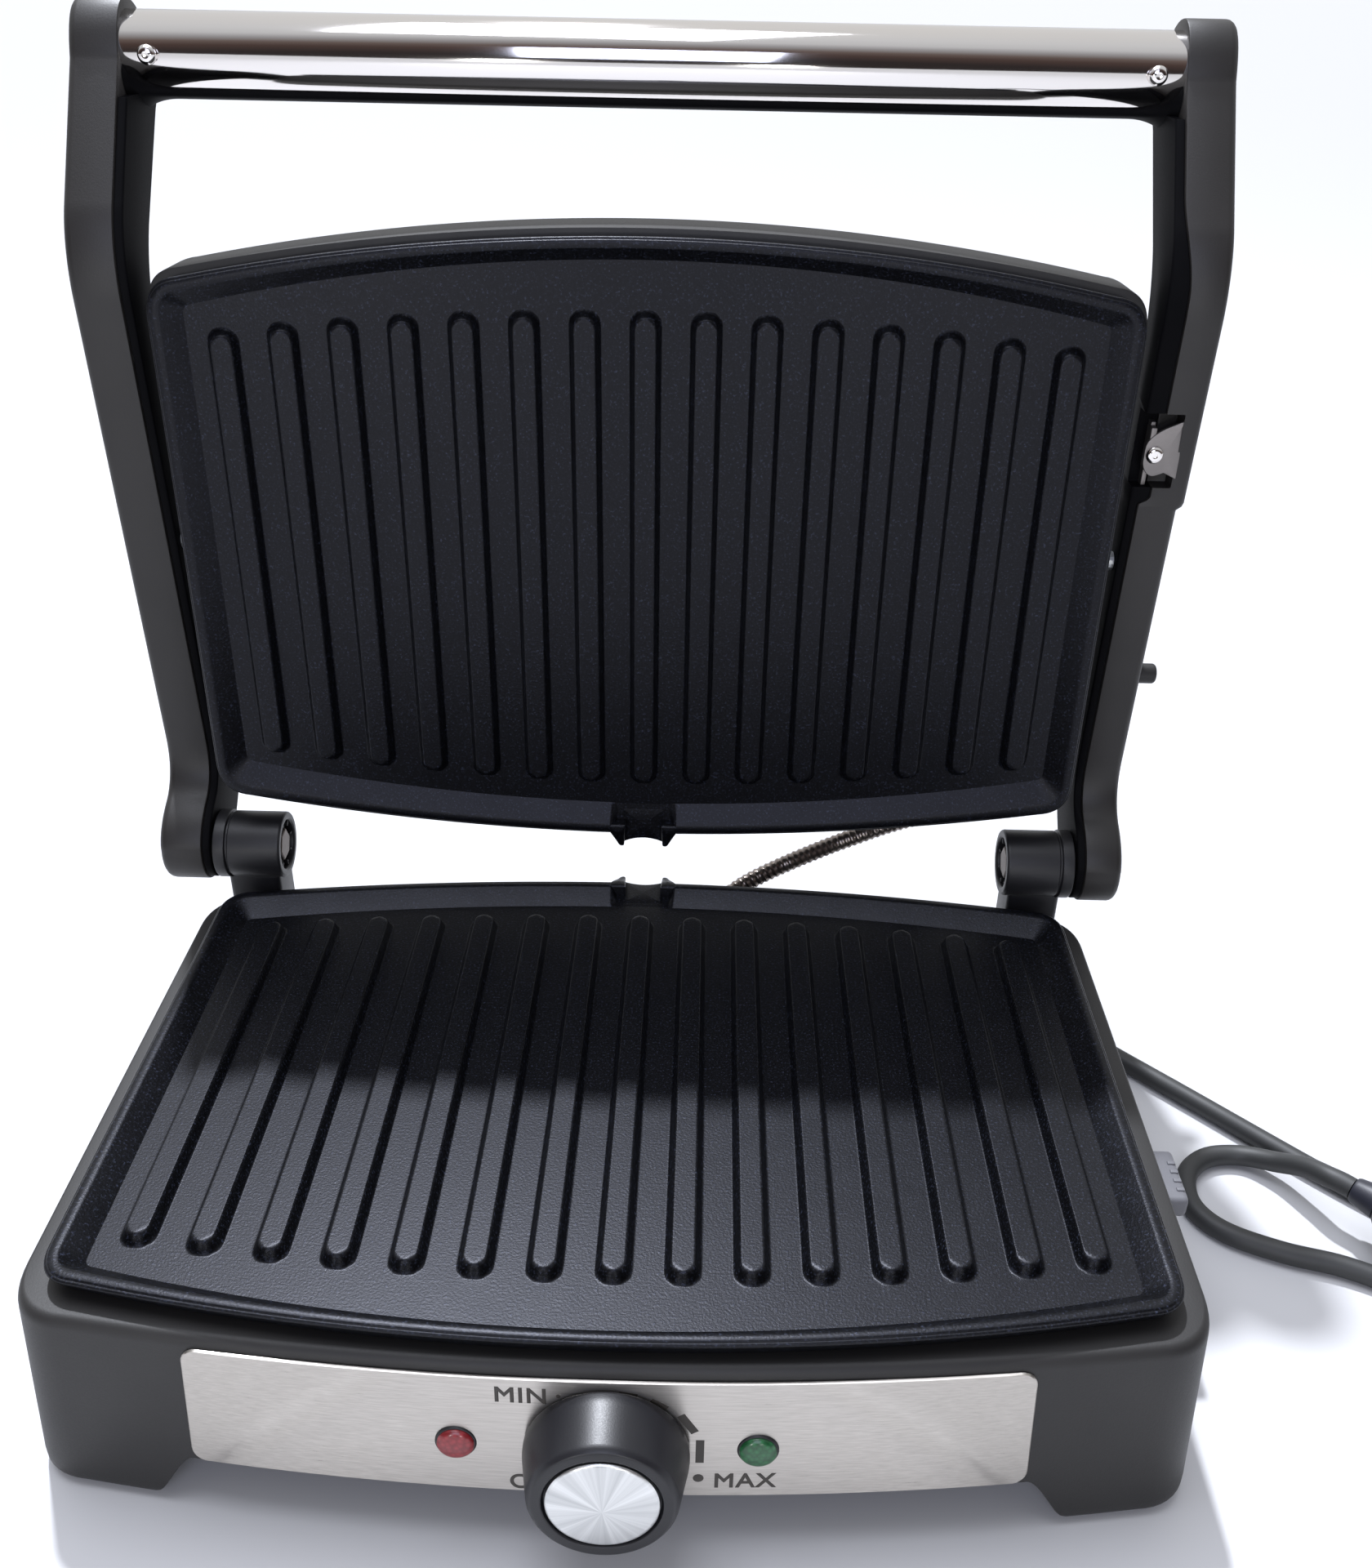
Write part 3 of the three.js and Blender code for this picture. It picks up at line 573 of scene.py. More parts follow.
PLASTIC_HOUSING = moulded_plastic("moulded_phenolic_charcoal", "1b1a1a", "222120", 0.5)
PLASTIC_ARM = moulded_plastic("moulded_nylon_grey_black", "1c1a19", "232120", 0.46)
PLASTIC_DARK = moulded_plastic("moulded_nylon_black", "161618", "1d1d20", 0.42)
PLASTIC_KNOB = moulded_plastic("moulded_abs_knob", "131316", "19191d", 0.36, grain_mm=0.4, depth_mm=0.02)
# black nylon with painted shade: made near black and given almost no reflection (level 0.03) for the arms'
# inner faces and the handle's underside
PLASTIC_BLACK_PAINTED_SHADE = moulded_plastic("moulded_nylon_black_painted_shade", "08080a", "0c0c0e", 0.55, depth_mm=0.02,
                                level=0.03)
NON_STICK = non_stick_coat()
BRUSHED = brushed_steel()
CHROME = chrome_plate()
SHEET = plain_metal("rolled_steel_sheet", "b4b6b8", 0.38)
ZINC = plain_metal("zinc_plated_steel", "7f7b79", 0.5)
HOSE = plain_metal("armoured_steel_hose", "8f8680", 0.3)
ELEMENT = plain_metal("heat_darkened_steel", "6a6460", 0.5)
BRASS = plain_metal("nickel_brass", "c4b083", 0.3)
RUBBER = soft_rubber("moulded_rubber_foot", "1a1a1a", 0.8)
CORD_RUBBER = soft_rubber("extruded_pvc_cord", "2a2b2b", 0.55)
PLUG_RUBBER = soft_rubber("moulded_pvc_plug", "20212a", 0.45)
RED_LENS = tinted_lens("tinted_polycarbonate_red", "6f151b", "8f272d")
GREEN_LENS = tinted_lens("tinted_polycarbonate_green", "0e4423", "1f6437")
PRINT_INK = soft_rubber("screen_print_ink", "38342f", 0.6)
CERAMIC = soft_rubber("glazed_steatite", "e8e4d8", 0.25)
LAMP_GLASS = soft_rubber("neon_lamp_glass", "d8a080", 0.15)

# ---- base ----------------------------------------------------------------------------------------


def quarter_round(t):
    return np.sqrt(1 - (1 - clamp01(t)) ** 2)


def flare(z):
    """How far the front wall stands outside the deck outline: 2.9 qr((60 - z) / 3.4) for the
    shoulder + 0.09 (57 - z) of draft - 1.8 (1 - qr((z - 2) / 4)) at the toe, where
    qr(t) = sqrt(1 - (1 - t)^2)."""
    shoulder = 2.9 * quarter_round((DECK_Z - z) / 3.4)
    draft = 0.09 * np.maximum(0, 57 - z)
    return shoulder + draft - 1.8 * (1 - quarter_round((z - LEG_BOTTOM) / 4))


def flared(points):
    """The outline's points moved out by the flare at their heights, half as far at sides and rear."""
    out = flare(np.clip(points[:, 2], LEG_BOTTOM, DECK_Z))
    x = points[:, 0] * (1 + out / 2 / HOUSING["half"])
    y = points[:, 1] * (1 + out / np.where(points[:, 1] < 0, FRONT_REACH, REAR_REACH))
    return np.column_stack([x, y, points[:, 2]])


def front_wall(x, z):
    """Y of the front wall's outer face."""
    deck = -(HOUSING["front"] + HOUSING["front_bow"] * (1 - (x / HOUSING["half"]) ** 2))
    return deck * (1 + flare(z) / FRONT_REACH)


PANEL_NORMAL = np.array([0, -math.cos(math.radians(PANEL_TILT)), math.sin(math.radians(PANEL_TILT))])


def panel_place(x):
    return np.array([x, front_wall(x, CONTROL_Z), CONTROL_Z])


def base_housing():
    """Moulded shell: inner wall, lower edge that arches between the front feet, outer wall with a
    round shoulder, and the deck under the plate."""
    leg, leg_slope = 104, 12.5
    arch = np.linspace(leg - 1, leg + 14, 31) / (HOUSING["half"] - HOUSING["corner"])
    extra = np.concatenate([-arch, arch])
    rings = []

    def ring(inset, height):
        xy = outline(HOUSING, inset, front_extra=extra)
        ramp_up = smooth((np.abs(xy[:, 0]) - leg) / leg_slope)
        edge = np.where(xy[:, 1] < 0, ARCH_TOP - (ARCH_TOP - LEG_BOTTOM) * ramp_up, LEG_BOTTOM)
        rings.append(flared(at_height(xy, height(edge))))

    ring(WALL, lambda edge: DECK_Z - 3)
    ring(WALL, lambda edge: edge + 6)
    ring(WALL, lambda edge: edge + 0.7)
    ring(WALL - 0.6, lambda edge: edge)
    ring(0.9, lambda edge: edge)
    ring(0.25, lambda edge: edge + 0.25)
    for part in np.linspace(0, 1, 12):
        ring(0, lambda edge, part=part: edge + 0.9 + (56.6 - edge - 0.9) * part ** 1.6)
    for turn in np.linspace(0, np.pi / 2, 10)[::-1][1:]:
        ring(0, lambda edge, turn=turn: DECK_Z - 3.4 * (1 - math.cos(turn)))
    ring(4, lambda edge: DECK_Z)
    ring(12, lambda edge: DECK_Z)
    piece = build("base_shell", [loft(rings)], PLASTIC_HOUSING)
    carve(piece,
          block((138, -34, 43.9), (170, -1.8, 52.1), 0.6),
          block((-51, 80, 21.2), (51, 125, 35.2), 0.6),
          lathe([[0, -20], [4.6, -20], [4.6, 20], [0, 20]], (60, 100.4, 27.5), (0, 1, 0), 40))
    return seat(piece, "base", "housing_plastic", "base_housing")


def control_panel():
    """Sheet 0.8 mm thick that follows the bowed front wall, with slanted ends, 4 mm round corners
    and its front edge broken by a quarter of a millimetre."""
    top, bottom, corner, bevel = 57.0, 19.0, 4.0, 0.25
    up = 0.5 - 0.5 * np.cos(np.linspace(0, np.pi, 34))
    z = bottom + (top - bottom) * up
    edge = np.minimum(np.minimum(z - bottom, top - z), corner)
    drawn = corner - np.sqrt(corner ** 2 - (corner - edge) ** 2)
    half = 106.0 - 1.5 * up - drawn
    stations = np.concatenate([[-1], np.linspace(-0.9975, 0.9975, 101), [1]])
    rings = []
    for u in stations:
        x = u * half
        back = front_wall(x, z) - PANEL_GAP
        sunk = np.full(len(z), bevel if abs(u) == 1 else 0.0)
        sunk[[0, -1]] = bevel
        rings.append(np.concatenate([
            np.column_stack([x, back - PANEL_THICK + sunk, z]), np.column_stack([x, back, z])[::-1]]))
    piece = build("panel_sheet", [loft(rings, "ladder")], BRUSHED, 20)
    return seat(piece, "base", "brushed_steel", "control_panel")


def knob():
    profile = [[0, 11.3], [3.3, 11.3], [3.3, 1.8], [20.0, 1.8, 0.3], [20.5, 2.4, 0.4], [20.5, 4.6, 1.6],
               [18.3, 16.1, 1.2], [17.2, 17.3, 0.5], [14.6, 17.3, 0.4], [14.2, 15.8, 0.3], [0, 15.8]]
    centre = panel_place(0)
    piece = build("knob_body", [lathe(profile, centre, PANEL_NORMAL, 160)], PLASTIC_KNOB)
    seat(piece, "knob", "knob_plastic", "control_knob")
    cap = lathe([[0, 16.1], [13.8, 16.1, 0.2], [13.8, 17.1, 0.3], [13.1, 17.6, 0.5], [8, 17.75], [0, 17.9]],
                centre, PANEL_NORMAL, 160)
    disc = build("knob_disc", [cap], spun_aluminium(centre))
    seat(disc, "knob", "spun_cap", "knob_cap")


def lens(name, x, material, slot, node):
    profile = [[0, -6], [3.8, -6], [3.8, 1.2], [4.6, 1.2, 0.2], [4.7, 2.1, 0.4], [3.7, 2.9, 0.8],
               [2, 3.2], [0, 3.3]]
    piece = build(name, [lathe(profile, panel_place(x), PANEL_NORMAL, 64)], material)
    seat(piece, "base", slot, node)
    collar = lathe([[0, 0.3], [4.9, 0.3], [5.3, 1.1, 0.4], [4.9, 1.7, 0.3], [0, 1.5]],
                   panel_place(x), PANEL_NORMAL, 64)
    rim = build(name + "_collar", [collar], PLASTIC_DARK)
    seat(rim, "base", "dark_plastic")


def feet():
    profile = [[0, 0], [7.2, 0, 0.8], [8, 1, 0.7], [8, 6, 0.6], [2.8, 6], [2.8, 17.7], [0, 17.7]]
    for end, y in (("front", -76), ("rear", 78)):
        for side, x in (("left", -132), ("right", 132)):
            piece = build(f"rubber_foot_{end}_{side}", [lathe(profile, np.array([x, y, 0.0]))], RUBBER)
            seat(piece, "base", "rubber", f"foot_{end}_{side}")


def storage_latch():
    shells = [block((143, -32.5, 44.5), (159.5, -12.5, 51.5), 1.6),
              block((141.5, -35.5, 41.5), (144, -9.5, 54.5), 0.6)]
    shells += [block((156.6, y, 51.0), (158.9, y + 1.4, 51.9), 0.3) for y in (-29.0, -25.6, -22.2, -18.8)]
    piece = build("latch_slide_body", shells, moulded_plastic("moulded_nylon_grey", "5c5c60", "66666a", 0.5))
    seat(piece, "latch", "arm_plastic", "storage_latch")


def drip_tray():
    """Open tray, a rounded rectangle carried up the inside and down the outside, with a rear grip."""
    levels = [(2.8, 23.8), (1.8, 24.8), (1.8, 33.6), (1.4, 34), (0.4, 34), (0, 33.6), (0, 23), (0.8, 22.1),
              (1.8, 22)]
    rings = [at_height(rounded_rectangle((-50, 42), (50, 116.5), inset, max(3.5 - inset, 1.0), 6), z)
             for inset, z in levels]
    grip = block((-18, 115.5, 25), (18, 118.5, 34), 1.0)
    piece = build("tray_pan", [loft(rings), grip], PLASTIC_DARK)
    seat(piece, "tray", "dark_plastic", "drip_tray")


def hinge(side, s):
    """A barrel with eight small ribs in its recessed end, its bracket on the base, and its bolt."""
    barrel = [[0, 3], [8.2, 3, 0.3], [8.6, 0.5, 0.3], [9.2, 0, 0.2], [11, 0, 0.4], [11.5, 0.7, 0.4],
              [11.5, 18.0, 0.2], [11.0, 18.3, 0.1], [11.0, 18.9, 0.1], [11.9, 19.1, 0.3],
              [11.9, 23.0, 0.4], [0, 23.2]]
    start = np.array([s * 125.0, HINGE_Y, HINGE_Z])
    low, high = sorted((s * 128, s * 146))
    shells = [lathe(barrel, start, (s, 0, 0), 96),
              block((low, 94.4, 36), (high, 110, 70), 1.6)]
    points, faces = block((0, 6.6, -0.35), (1.6, 8.5, 0.35), 0.2, 2)
    x, y, z = points.T
    for a in 2 * np.pi * np.arange(8) / 8:
        notch = np.column_stack([s * (125.8 + x), HINGE_Y + y * math.cos(a) - z * math.sin(a),
                                 HINGE_Z + y * math.sin(a) + z * math.cos(a)])
        shells.append((notch, faces))
    piece = build(f"hinge_knuckle_{side}", shells, PLASTIC_DARK)
    seat(piece, "base", "dark_plastic", f"hinge_barrel_{side}")
    bolt = [lathe([[0, 0.8], [5.2, 0.8, 0.3], [5.7, 1.4, 0.3], [5.7, 2.9], [0, 2.9]], start, (s, 0, 0), 6),
            lathe([[0, 1.4], [3.4, 1.4], [3.4, 34.5, 0.3], [0, 35]], start, (s, 0, 0), 40)]
    bar = build(f"hinge_bolt_bar_{side}", bolt, ELEMENT)
    seat(bar, "base", "sheet_steel", f"hinge_bolt_{side}")


# ---- cast plates ---------------------------------------------------------------------------------


def plate_rim():
    """The rim of a plate: under side, sloping wall, a small step, a flat top and a slope down to the
    floor that is widest at the rear. It drops to the floor at the drain in the rear edge."""
    gap = np.linspace(-12, 12, 49) / (PLATE["half"] - PLATE["corner"])
    levels = [((9.6, 6.8, 10.0), -FLOOR_THICK), (3.0, -FLOOR_THICK), (2.4, -2.2), (0.3, 2.0), (0.0, 2.6),
              (0.1, 3.2), (0.35, 3.4), (0.7, 3.45), (0.8, 3.8), (1.1, RIM), ((3.3, 2.9, 3.3), RIM),
              ((3.9, 3.3, 3.9), 3.75), ((9.2, 6.2, 9.7), 0.25), ((9.8, 6.9, 10.4), -0.1)]
    rings = []
    for inset, z in levels:
        xy = outline(PLATE, inset, front_extra=gap)
        drop = np.where(xy[:, 1] > 60, smooth((np.abs(xy[:, 0]) - 9.0) / 2.2), 1.0)
        rings.append(at_height(xy, z * drop + 0.03 * (1 - drop) if z > 0 else z))
    return loft(rings, closed=True)


def rib_ends(x):
    """Y of a rib's front and rear ends, for a rib whose middle line is at x."""
    bow = 1 - (x / OUTER_RIB) ** 2
    return -(69.5 + 7.6 * bow), 69.5 + 8.3 * bow


def plate_floor():
    """The ribbed floor as a height field over a slab: the height is 3.5 s(t), t = (4.7 - d) / 1.8
    held in 0..1, where d is the distance from the nearest rib's middle line and
    s(t) = 0.55 t + 0.45 (3 t^2 - 2 t^3)."""
    near = np.array([0.9, 1.9, 2.5, 2.75, 2.95, 3.2, 3.6, 4.0, 4.4, 4.65, 4.85, 5.2, 6.4, 7.7])
    across = np.concatenate([-near[::-1], [0], near])
    middles = (np.arange(RIBS) - (RIBS - 1) / 2) * RIB_PITCH
    x = (middles[:, None] + across).ravel()
    x = np.concatenate([[-136.5, -133.5], x, [133.5, 136.5]])
    bow = 1 - (x / (PLATE["half"] - EDGE_INSET)) ** 2
    off_end = np.array([6, 5.2, 4.8, 4.5, 4.1, 3.6, 3.2, 2.9, 2.6, 2.1, 1.4, 0.6, -0.4, -2, -5]) - 4.5
    front_end, rear_end = rib_ends(x)
    front_edge = -(PLATE["front"] - EDGE_INSET + PLATE["front_bow"] * bow)
    rear_edge = PLATE["rear"] - EDGE_INSET + PLATE["rear_bow"] * bow
    rows = [front_edge] + [front_end - d for d in off_end]
    rows += [front_end + (rear_end - front_end) * p for p in np.linspace(0.12, 0.88, 14)]
    rows += [rear_end + d for d in off_end[::-1]] + [rear_edge]
    y = np.array(rows)
    x = np.broadcast_to(x, y.shape)
    rib = middles[np.abs(x[..., None] - middles).argmin(-1)]
    front_tip, rear_tip = rib_ends(rib)
    over_front = -(y + (-front_tip - RIB_HALF))
    over_rear = y - (rear_tip - RIB_HALF)
    d = np.hypot(x - rib, np.maximum(0, np.maximum(over_front, over_rear)))
    t = clamp01((RIB_HALF - d) / 1.8)
    height = (RIB_HEIGHT - 0.1) * (0.55 * t + 0.45 * smooth(t))
    n, m = y.shape
    top = np.stack([x, y, height], -1).reshape(-1, 3)
    under = np.stack([x, y, np.full_like(x, -FLOOR_THICK + 0.1)], -1).reshape(-1, 3)
    faces = grid_faces(n, m, wrap_cols=False)
    index = np.arange(n * m).reshape(n, m)
    loop = np.concatenate([index[0, :-1], index[:-1, -1], index[-1, :0:-1], index[:0:-1, 0]])
    after = np.roll(loop, -1)
    wall = np.stack([loop + n * m, after + n * m, after, loop], -1)
    return np.concatenate([top, under]), np.concatenate([faces, faces[:, ::-1] + n * m, wall])


def prism(corners, low, high, radius):
    """A plan outline of corners, each (x, y, rounding), carried up Z with its upper edge rounded."""
    ring = fillet(list(corners) + [corners[0]], 4)[:-1]
    ring = resample(np.concatenate([ring, ring[:1]]), 81)[:-1]
    levels = [(0, low), (0, high - radius)]
    levels += [(radius * (1 - math.cos(t)), high - radius + radius * math.sin(t)) for t in (0.5, 1.0, 1.5)]
    return loft([at_height(inset_2d(ring, inset), z) for inset, z in levels])


def plate_shells():
    """One casting, cooking face up, its floor at z = 0, with the drain spout at its rear: a channel
    between two cheeks that taper to horns, and a shallow round notch in the channel's lip."""
    t = np.linspace(-1, 1, 13)
    lip = [(6.8 * u, 99.6 + 1.6 * u * u) for u in t[::-1]]
    spout = [prism([(-7, 88), (7, 88)] + lip, -FLOOR_THICK, 0.06, 0.3)]
    for s in (-1, 1):
        cheek = [(6.1, 92.5, 0.4), (11.8, 92.5, 0.4), (11.8, 94.6, 1.2), (8.2, 102, 1.4), (6.6, 102, 0.8)]
        points, faces = prism(cheek, -FLOOR_THICK, RIM + 0.1, 0.7)
        lowered = 1 - 0.55 * smooth((points[:, 1] - 94) / 8)
        points[:, 2] *= np.where(points[:, 2] > 0, lowered, 1)
        points[:, 0] *= s
        spout.append((points, faces))
    return [plate_rim(), plate_floor()] + spout


def grill_plates():
    shells = plate_shells()
    lower = [(p + (0, 0, PLATE_Z), f) for p, f in shells]
    piece = build("lower_plate_casting", lower, NON_STICK, 50)
    seat(piece, "base", "non_stick_plate", "lower_grill_plate")
    upper = build("upper_plate_casting", [(head_place(p), f) for p, f in shells], NON_STICK, 50)
    seat(upper, "head", "non_stick_plate", "upper_grill_plate")


# ---- head ----------------------------------------------------------------------------------------


def crowned(points):
    """The lid's back drawn in towards its edges by 14 (1 - sqrt(1 - 0.96 t^2)), t rising to 1 over
    the last 18 mm."""
    t = clamp01((-points[:, 2] - 20) / 18)
    drawn = 14 * (1 - np.sqrt(1 - 0.96 * t * t))
    return points * np.column_stack([1 - drawn / 145, 1 - drawn / 98, np.ones(len(drawn))])


def upper_cover():
    levels = [(3.0, -34.6), (3.0, -30), (3.0, -20), (3.0, -3.4), (2.7, -3.05), (0.5, -3.05), (0.1, -3.3),
              (0.0, -3.8), (0.0, -12), (0.0, -20)]
    levels += [(0.0, z) for z in -20 - 18 * np.sin(np.linspace(0, np.pi / 2, 15)[1:-1])]
    levels += [(0.4, -37.85), (1.6, -38), (9, -38)]
    rings = [crowned(at_height(outline(LID, inset), z)) for inset, z in levels]
    points, faces = loft(rings)
    piece = build("lid_shell", [(head_place(points), faces)], PLASTIC_HOUSING)
    seat(piece, "head", "housing_plastic", "upper_cover")
    trim = dict(half=112.0, front=58.0, front_bow=10.0, rear=58.0, rear_bow=8.0, corner=12.0)
    rings = [at_height(outline(trim, inset), z) for inset, z in
             ((4, -38.3), (0, -38.3), (0, -38.85), (0.3, -39.1), (4, -39.1))]
    points, faces = loft(rings)
    sheet = build("lid_trim_sheet", [(head_place(points), faces)], BRUSHED, 20)
    seat(sheet, "head", "brushed_steel", "lid_trim_plate")


# ---- arms and handle -----------------------------------------------------------------------------


def arm_outline(count=270):
    """Side view of an arm in (y, z) from under the hub, up the back edge to the top and down the
    front edge, each edge in count even steps so that a ladder can close the ring."""
    hub = np.array([HINGE_Y, HINGE_Z])

    def arc(a, b):
        t = np.radians(np.linspace(a, b, 40))
        return hub + 12.5 * np.column_stack([np.cos(t), np.sin(t)])

    back = pen(hub + 12.5 * np.array([math.cos(math.radians(315)), math.sin(math.radians(315))]),
               ((134.5, 84), (134.5, 106)), ((119.5, 252),), ((120.5, 266), (127.5, 277)), ((148, 306),),
               ((158, 316), (157, 325)), ((154, 336.5), (143, 336.5)), step=0.6)
    front = pen(arc(165.6, 165.6)[0], ((87.4, 81),), ((90, 89), (101, 94)), ((109.5, 99), (108.8, 112)),
                ((101.5, 262),), ((101.5, 276), (107.5, 286)), ((130.5, 322),), ((135, 336), (143, 336.5)),
                step=0.6)
    right = resample(np.concatenate([arc(270, 315), back]), count)
    left = resample(np.concatenate([arc(270, 165.6), front]), count)
    right[0] += (0.2, 0)
    right[-1] += (0.2, 0)
    return np.concatenate([right, left[::-1]])


def arm_slab(s, stations, base_inset=0.0, step_in=0.0, seam_shift=0.0):
    """The outline carried along X through (x, inset) stations. step_in draws the outer face in
    below z = 205. seam_shift moves the seam outwards, fully from z = 208 to z = 268 and fading
    out by z = 294."""
    line = arm_outline()
    near = stations[0][0]
    far = stations[-1][0]
    rings = []
    for x, inset in stations:
        yz = inset_2d(line, inset + base_inset)
        low = 1 - smooth((yz[:, 1] - 204) / 1.6)
        seam = seam_shift * smooth((yz[:, 1] - 206) / 2) * (1 - smooth((yz[:, 1] - 268) / 26))
        across = (x - near) / (far - near)
        moved = across if far < 152 else 1 - across    # a lining's seam is its far end
        out = x - step_in * low * across + seam * moved
        rings.append(np.column_stack([s * out, yz]))
    return loft(rings, "ladder")


def arms():
    """Each arm is an outer moulding and an inner lining that meet at a seam. The right one is
    stepped, and a window through both shows its bracket."""
    shell = [(151.35, 0.5), (151.6, 0.12), (152.0, 0.0), (163.2, 0.0), (164.2, 0.2), (165.0, 0.65),
             (165.6, 1.35), (165.9, 2.0), (166.0, 2.8)]
    inner = [(148.6, 0.9), (148.75, 0.45), (149.1, 0.2), (151.05, 0.2)]
    lining_top = 312.0
    for side, s in (("left", -1), ("right", 1)):
        low, high = sorted((s * 140, s * 160))
        step, shift = (2.0, 3.2) if s > 0 else (0.0, 0.0)
        windows = [block((138, 90, 211.5), (160.2, 110, 234.5), 0.5)] if s > 0 else []
        body = build(f"arm_moulding_{side}", [arm_slab(s, shell, 0, step, shift)], PLASTIC_ARM)
        if windows:
            carve(body, *windows)
        seat(body, "arms", "arm_plastic", f"arm_shell_{side}")
        # the lining's near-black, barely reflecting finish is painted shade over black nylon
        cover = build(f"arm_lining_{side}", [arm_slab(s, inner, 0.5, 0, shift)], PLASTIC_BLACK_PAINTED_SHADE)
        carve(cover, block((low - 5, 100, lining_top), (high + 5, 170, 345), 0.5), *windows)
        seat(cover, "arms", "dark_plastic", f"arm_inner_cover_{side}")


def handle():
    """Chrome bar between the arms, the dark strip under it that flares where it meets them, and
    its two screws."""
    tube_end = np.array([-156.5, HANDLE_Y, HANDLE_Z])
    bar = lathe([[0, 0], [10.8, 0, 0.2], [11, 0.3], [11, 312.7], [10.8, 313, 0.2], [0, 313]],
                tube_end, (1, 0, 0), 128)
    piece = build("handle_chrome_tube", [bar], CHROME)
    seat(piece, "arms", "chrome", "handle_tube", "handle_core")
    x = np.concatenate([np.linspace(-151.2, -136, 24), np.linspace(-130, 130, 27),
                        np.linspace(136, 151.2, 24)])
    skin, sunk = 11.05, 10.4
    edge = np.concatenate([[0, 0.62, 0.9], np.ones(19), [0.9, 0.62, 0]])
    rings = []
    for at in x:
        t = clamp01((abs(at) - 139) / 12.2)
        grow = 1 - math.sqrt(1 - 0.98 * t * t)
        reach = math.radians(31 + 53 * grow)
        a = np.linspace(-reach, reach, 25) - np.pi / 2
        outer = 12.4 + 6.3 * grow * np.clip(1 - np.abs(a + np.pi / 2) / (reach + 0.2), 0, 1)
        r = skin + (outer - skin) * edge
        outside, inside = (np.column_stack([
            np.full(25, at), HANDLE_Y + k * np.cos(a), HANDLE_Z + k * np.sin(a)]) for k in (r, sunk))
        rings.append(np.concatenate([outside, inside[::-1]]))
    # the strip's near-black, barely reflecting finish is painted shade under the bar, over black nylon
    strip = build("handle_grip_strip", [loft(rings, "ladder")], PLASTIC_BLACK_PAINTED_SHADE)
    seat(strip, "arms", "dark_plastic", "handle_underside")
    for side, s in (("left", -1), ("right", 1)):
        place = np.array([s * 143.5, HANDLE_Y - HANDLE_R - 0.1, HANDLE_Z])
        head = lathe([[0, -0.6], [2.7, -0.6], [2.7, 0.5, 0.3], [1.9, 1.4, 0.5], [1.0, 1.6], [0.9, 1.0],
                      [0, 0.9]], place, (0, -1, 0), 40)
        screw = build(f"handle_screw_head_{side}", [head], CHROME)
        seat(screw, "arms", "chrome", f"handle_screw_{side}")


def arm_fittings():
    """Bracket with its screw in the right arm's window, and the release peg."""
    sheet = [(161.0, 214.5), (161.0, 232.5), (154.5, 229.5, 2), (150.2, 226.0, 2.5), (150.2, 218.0, 3),
             (153.0, 214.8, 2), (157.0, 216.4, 1)]
    points, faces = prism([(corner[0], -corner[1], *corner[2:]) for corner in sheet][::-1], 0, 1.2, 0.3)
    tab = (np.column_stack([points[:, 0], 104.6 - points[:, 2], -points[:, 1]]), faces)
    strap = block((151.7, 107, 177), (153.2, 118, 231), 0.3)
    web = block((151.2, 103.8, 217), (153.0, 109, 230), 0.3)
    piece = build("bracket_steel_right", [tab, strap, web], ZINC, 20)
    seat(piece, "arms", "sheet_steel", "pivot_bracket_right")
    head = lathe([[0, -0.8], [2.6, -0.8], [2.6, 0.1, 0.2], [1.8, 0.8, 0.4], [0.8, 0.8], [0.7, 0.3], [0, 0.3]],
                 (153.2, 102.7, 222), (0, -1, 0), 40)
    seat(build("bracket_screw_head", [head], CHROME), "arms", "chrome", "bracket_screw_right")
    peg = [lathe([[0, 0], [5.2, 0, 0.1], [5.4, 0.4, 0.2], [5.4, 1.2], [3.4, 1.2, 0.2], [3.4, 14.6, 0.6],
                  [2.8, 15.3, 0.3], [0, 15.3]], (156.2, 118, 142), (1, 0, 0), 48)]
    seat(build("release_peg", peg, PLASTIC_HOUSING), "button", "housing_plastic", "release_button")


# ---- cord and conduit ----------------------------------------------------------------------------


def cord_path():
    """From the strain relief down to the table, out to the coil and its turns, and back to the plug
    in a tight loop, nowhere lower than the cord's own radius."""
    near = [(60, 125.5, 27.5), (60, 128.5, 27.4), (60.6, 134, 24.4), (62.5, 141, 18.5), (69.5, 152, 10.5),
            (80, 158.5, 5.2), (92, 158, 3.4), (104, 151, 3.4), (120, 136.5, 3.4), (150, 106.5, 3.4),
            (190, 66.5, 3.4), (236, 20.5, 3.4), (262, 0.2, 3.4), (284, -11, 3.4), (300, -15.6, 3.4)]
    turns, coil_x, coil_y, coil_r = 1.625, 325, -57, 38
    turn = np.linspace(0, turns * 360, 53)
    a = np.radians(90 - turn)
    rise = 3.42 + 6.9 * smooth((turn - 268) / 80)
    coil = np.column_stack([coil_x + coil_r * np.cos(a), coil_y + coil_r * np.sin(a), rise])
    far = [(292.5, -78.2, 10.3), (287.5, -73.3, 9.5), (283.3, -69.0, 7.7), (279.0, -64.8, 5.5),
           (274.1, -59.9, 3.7), (262, -47.6, 3.4), (246, -31.5, 3.4), (236, -19.5, 3.4), (222, -11.8, 3.4),
           (205, -6.8, 3.4), (190, 0.2, 3.4), (182.6, 8.4, 3.4), (181.2, 17.5, 3.4), (184.6, 27, 3.4),
           (193, 33.6, 3.4), (204, 34.2, 4), (213, 28.2, 7.4), (219, 20, 13.4), (222.9, 13.2, 16.4),
           (226.2, 9.9, 17), (228.3, 7.8, 17)]
    path = smooth_path(near + [tuple(p) for p in coil] + far, 2.0)
    path[:, 2] = np.maximum(path[:, 2], CORD_R)
    return path


PLUG_START = np.array([228.6, 7.5, 17.0])
PLUG_AXIS = np.array([0.7071, -0.7071, 0])


def power_cord():
    path = cord_path()
    piece = build("power_cord_run", [tube(path, CORD_R, 20)], CORD_RUBBER)
    seat(piece, "base", "cord_rubber", "power_cord_near", "cord_coil", "power_cord_far")


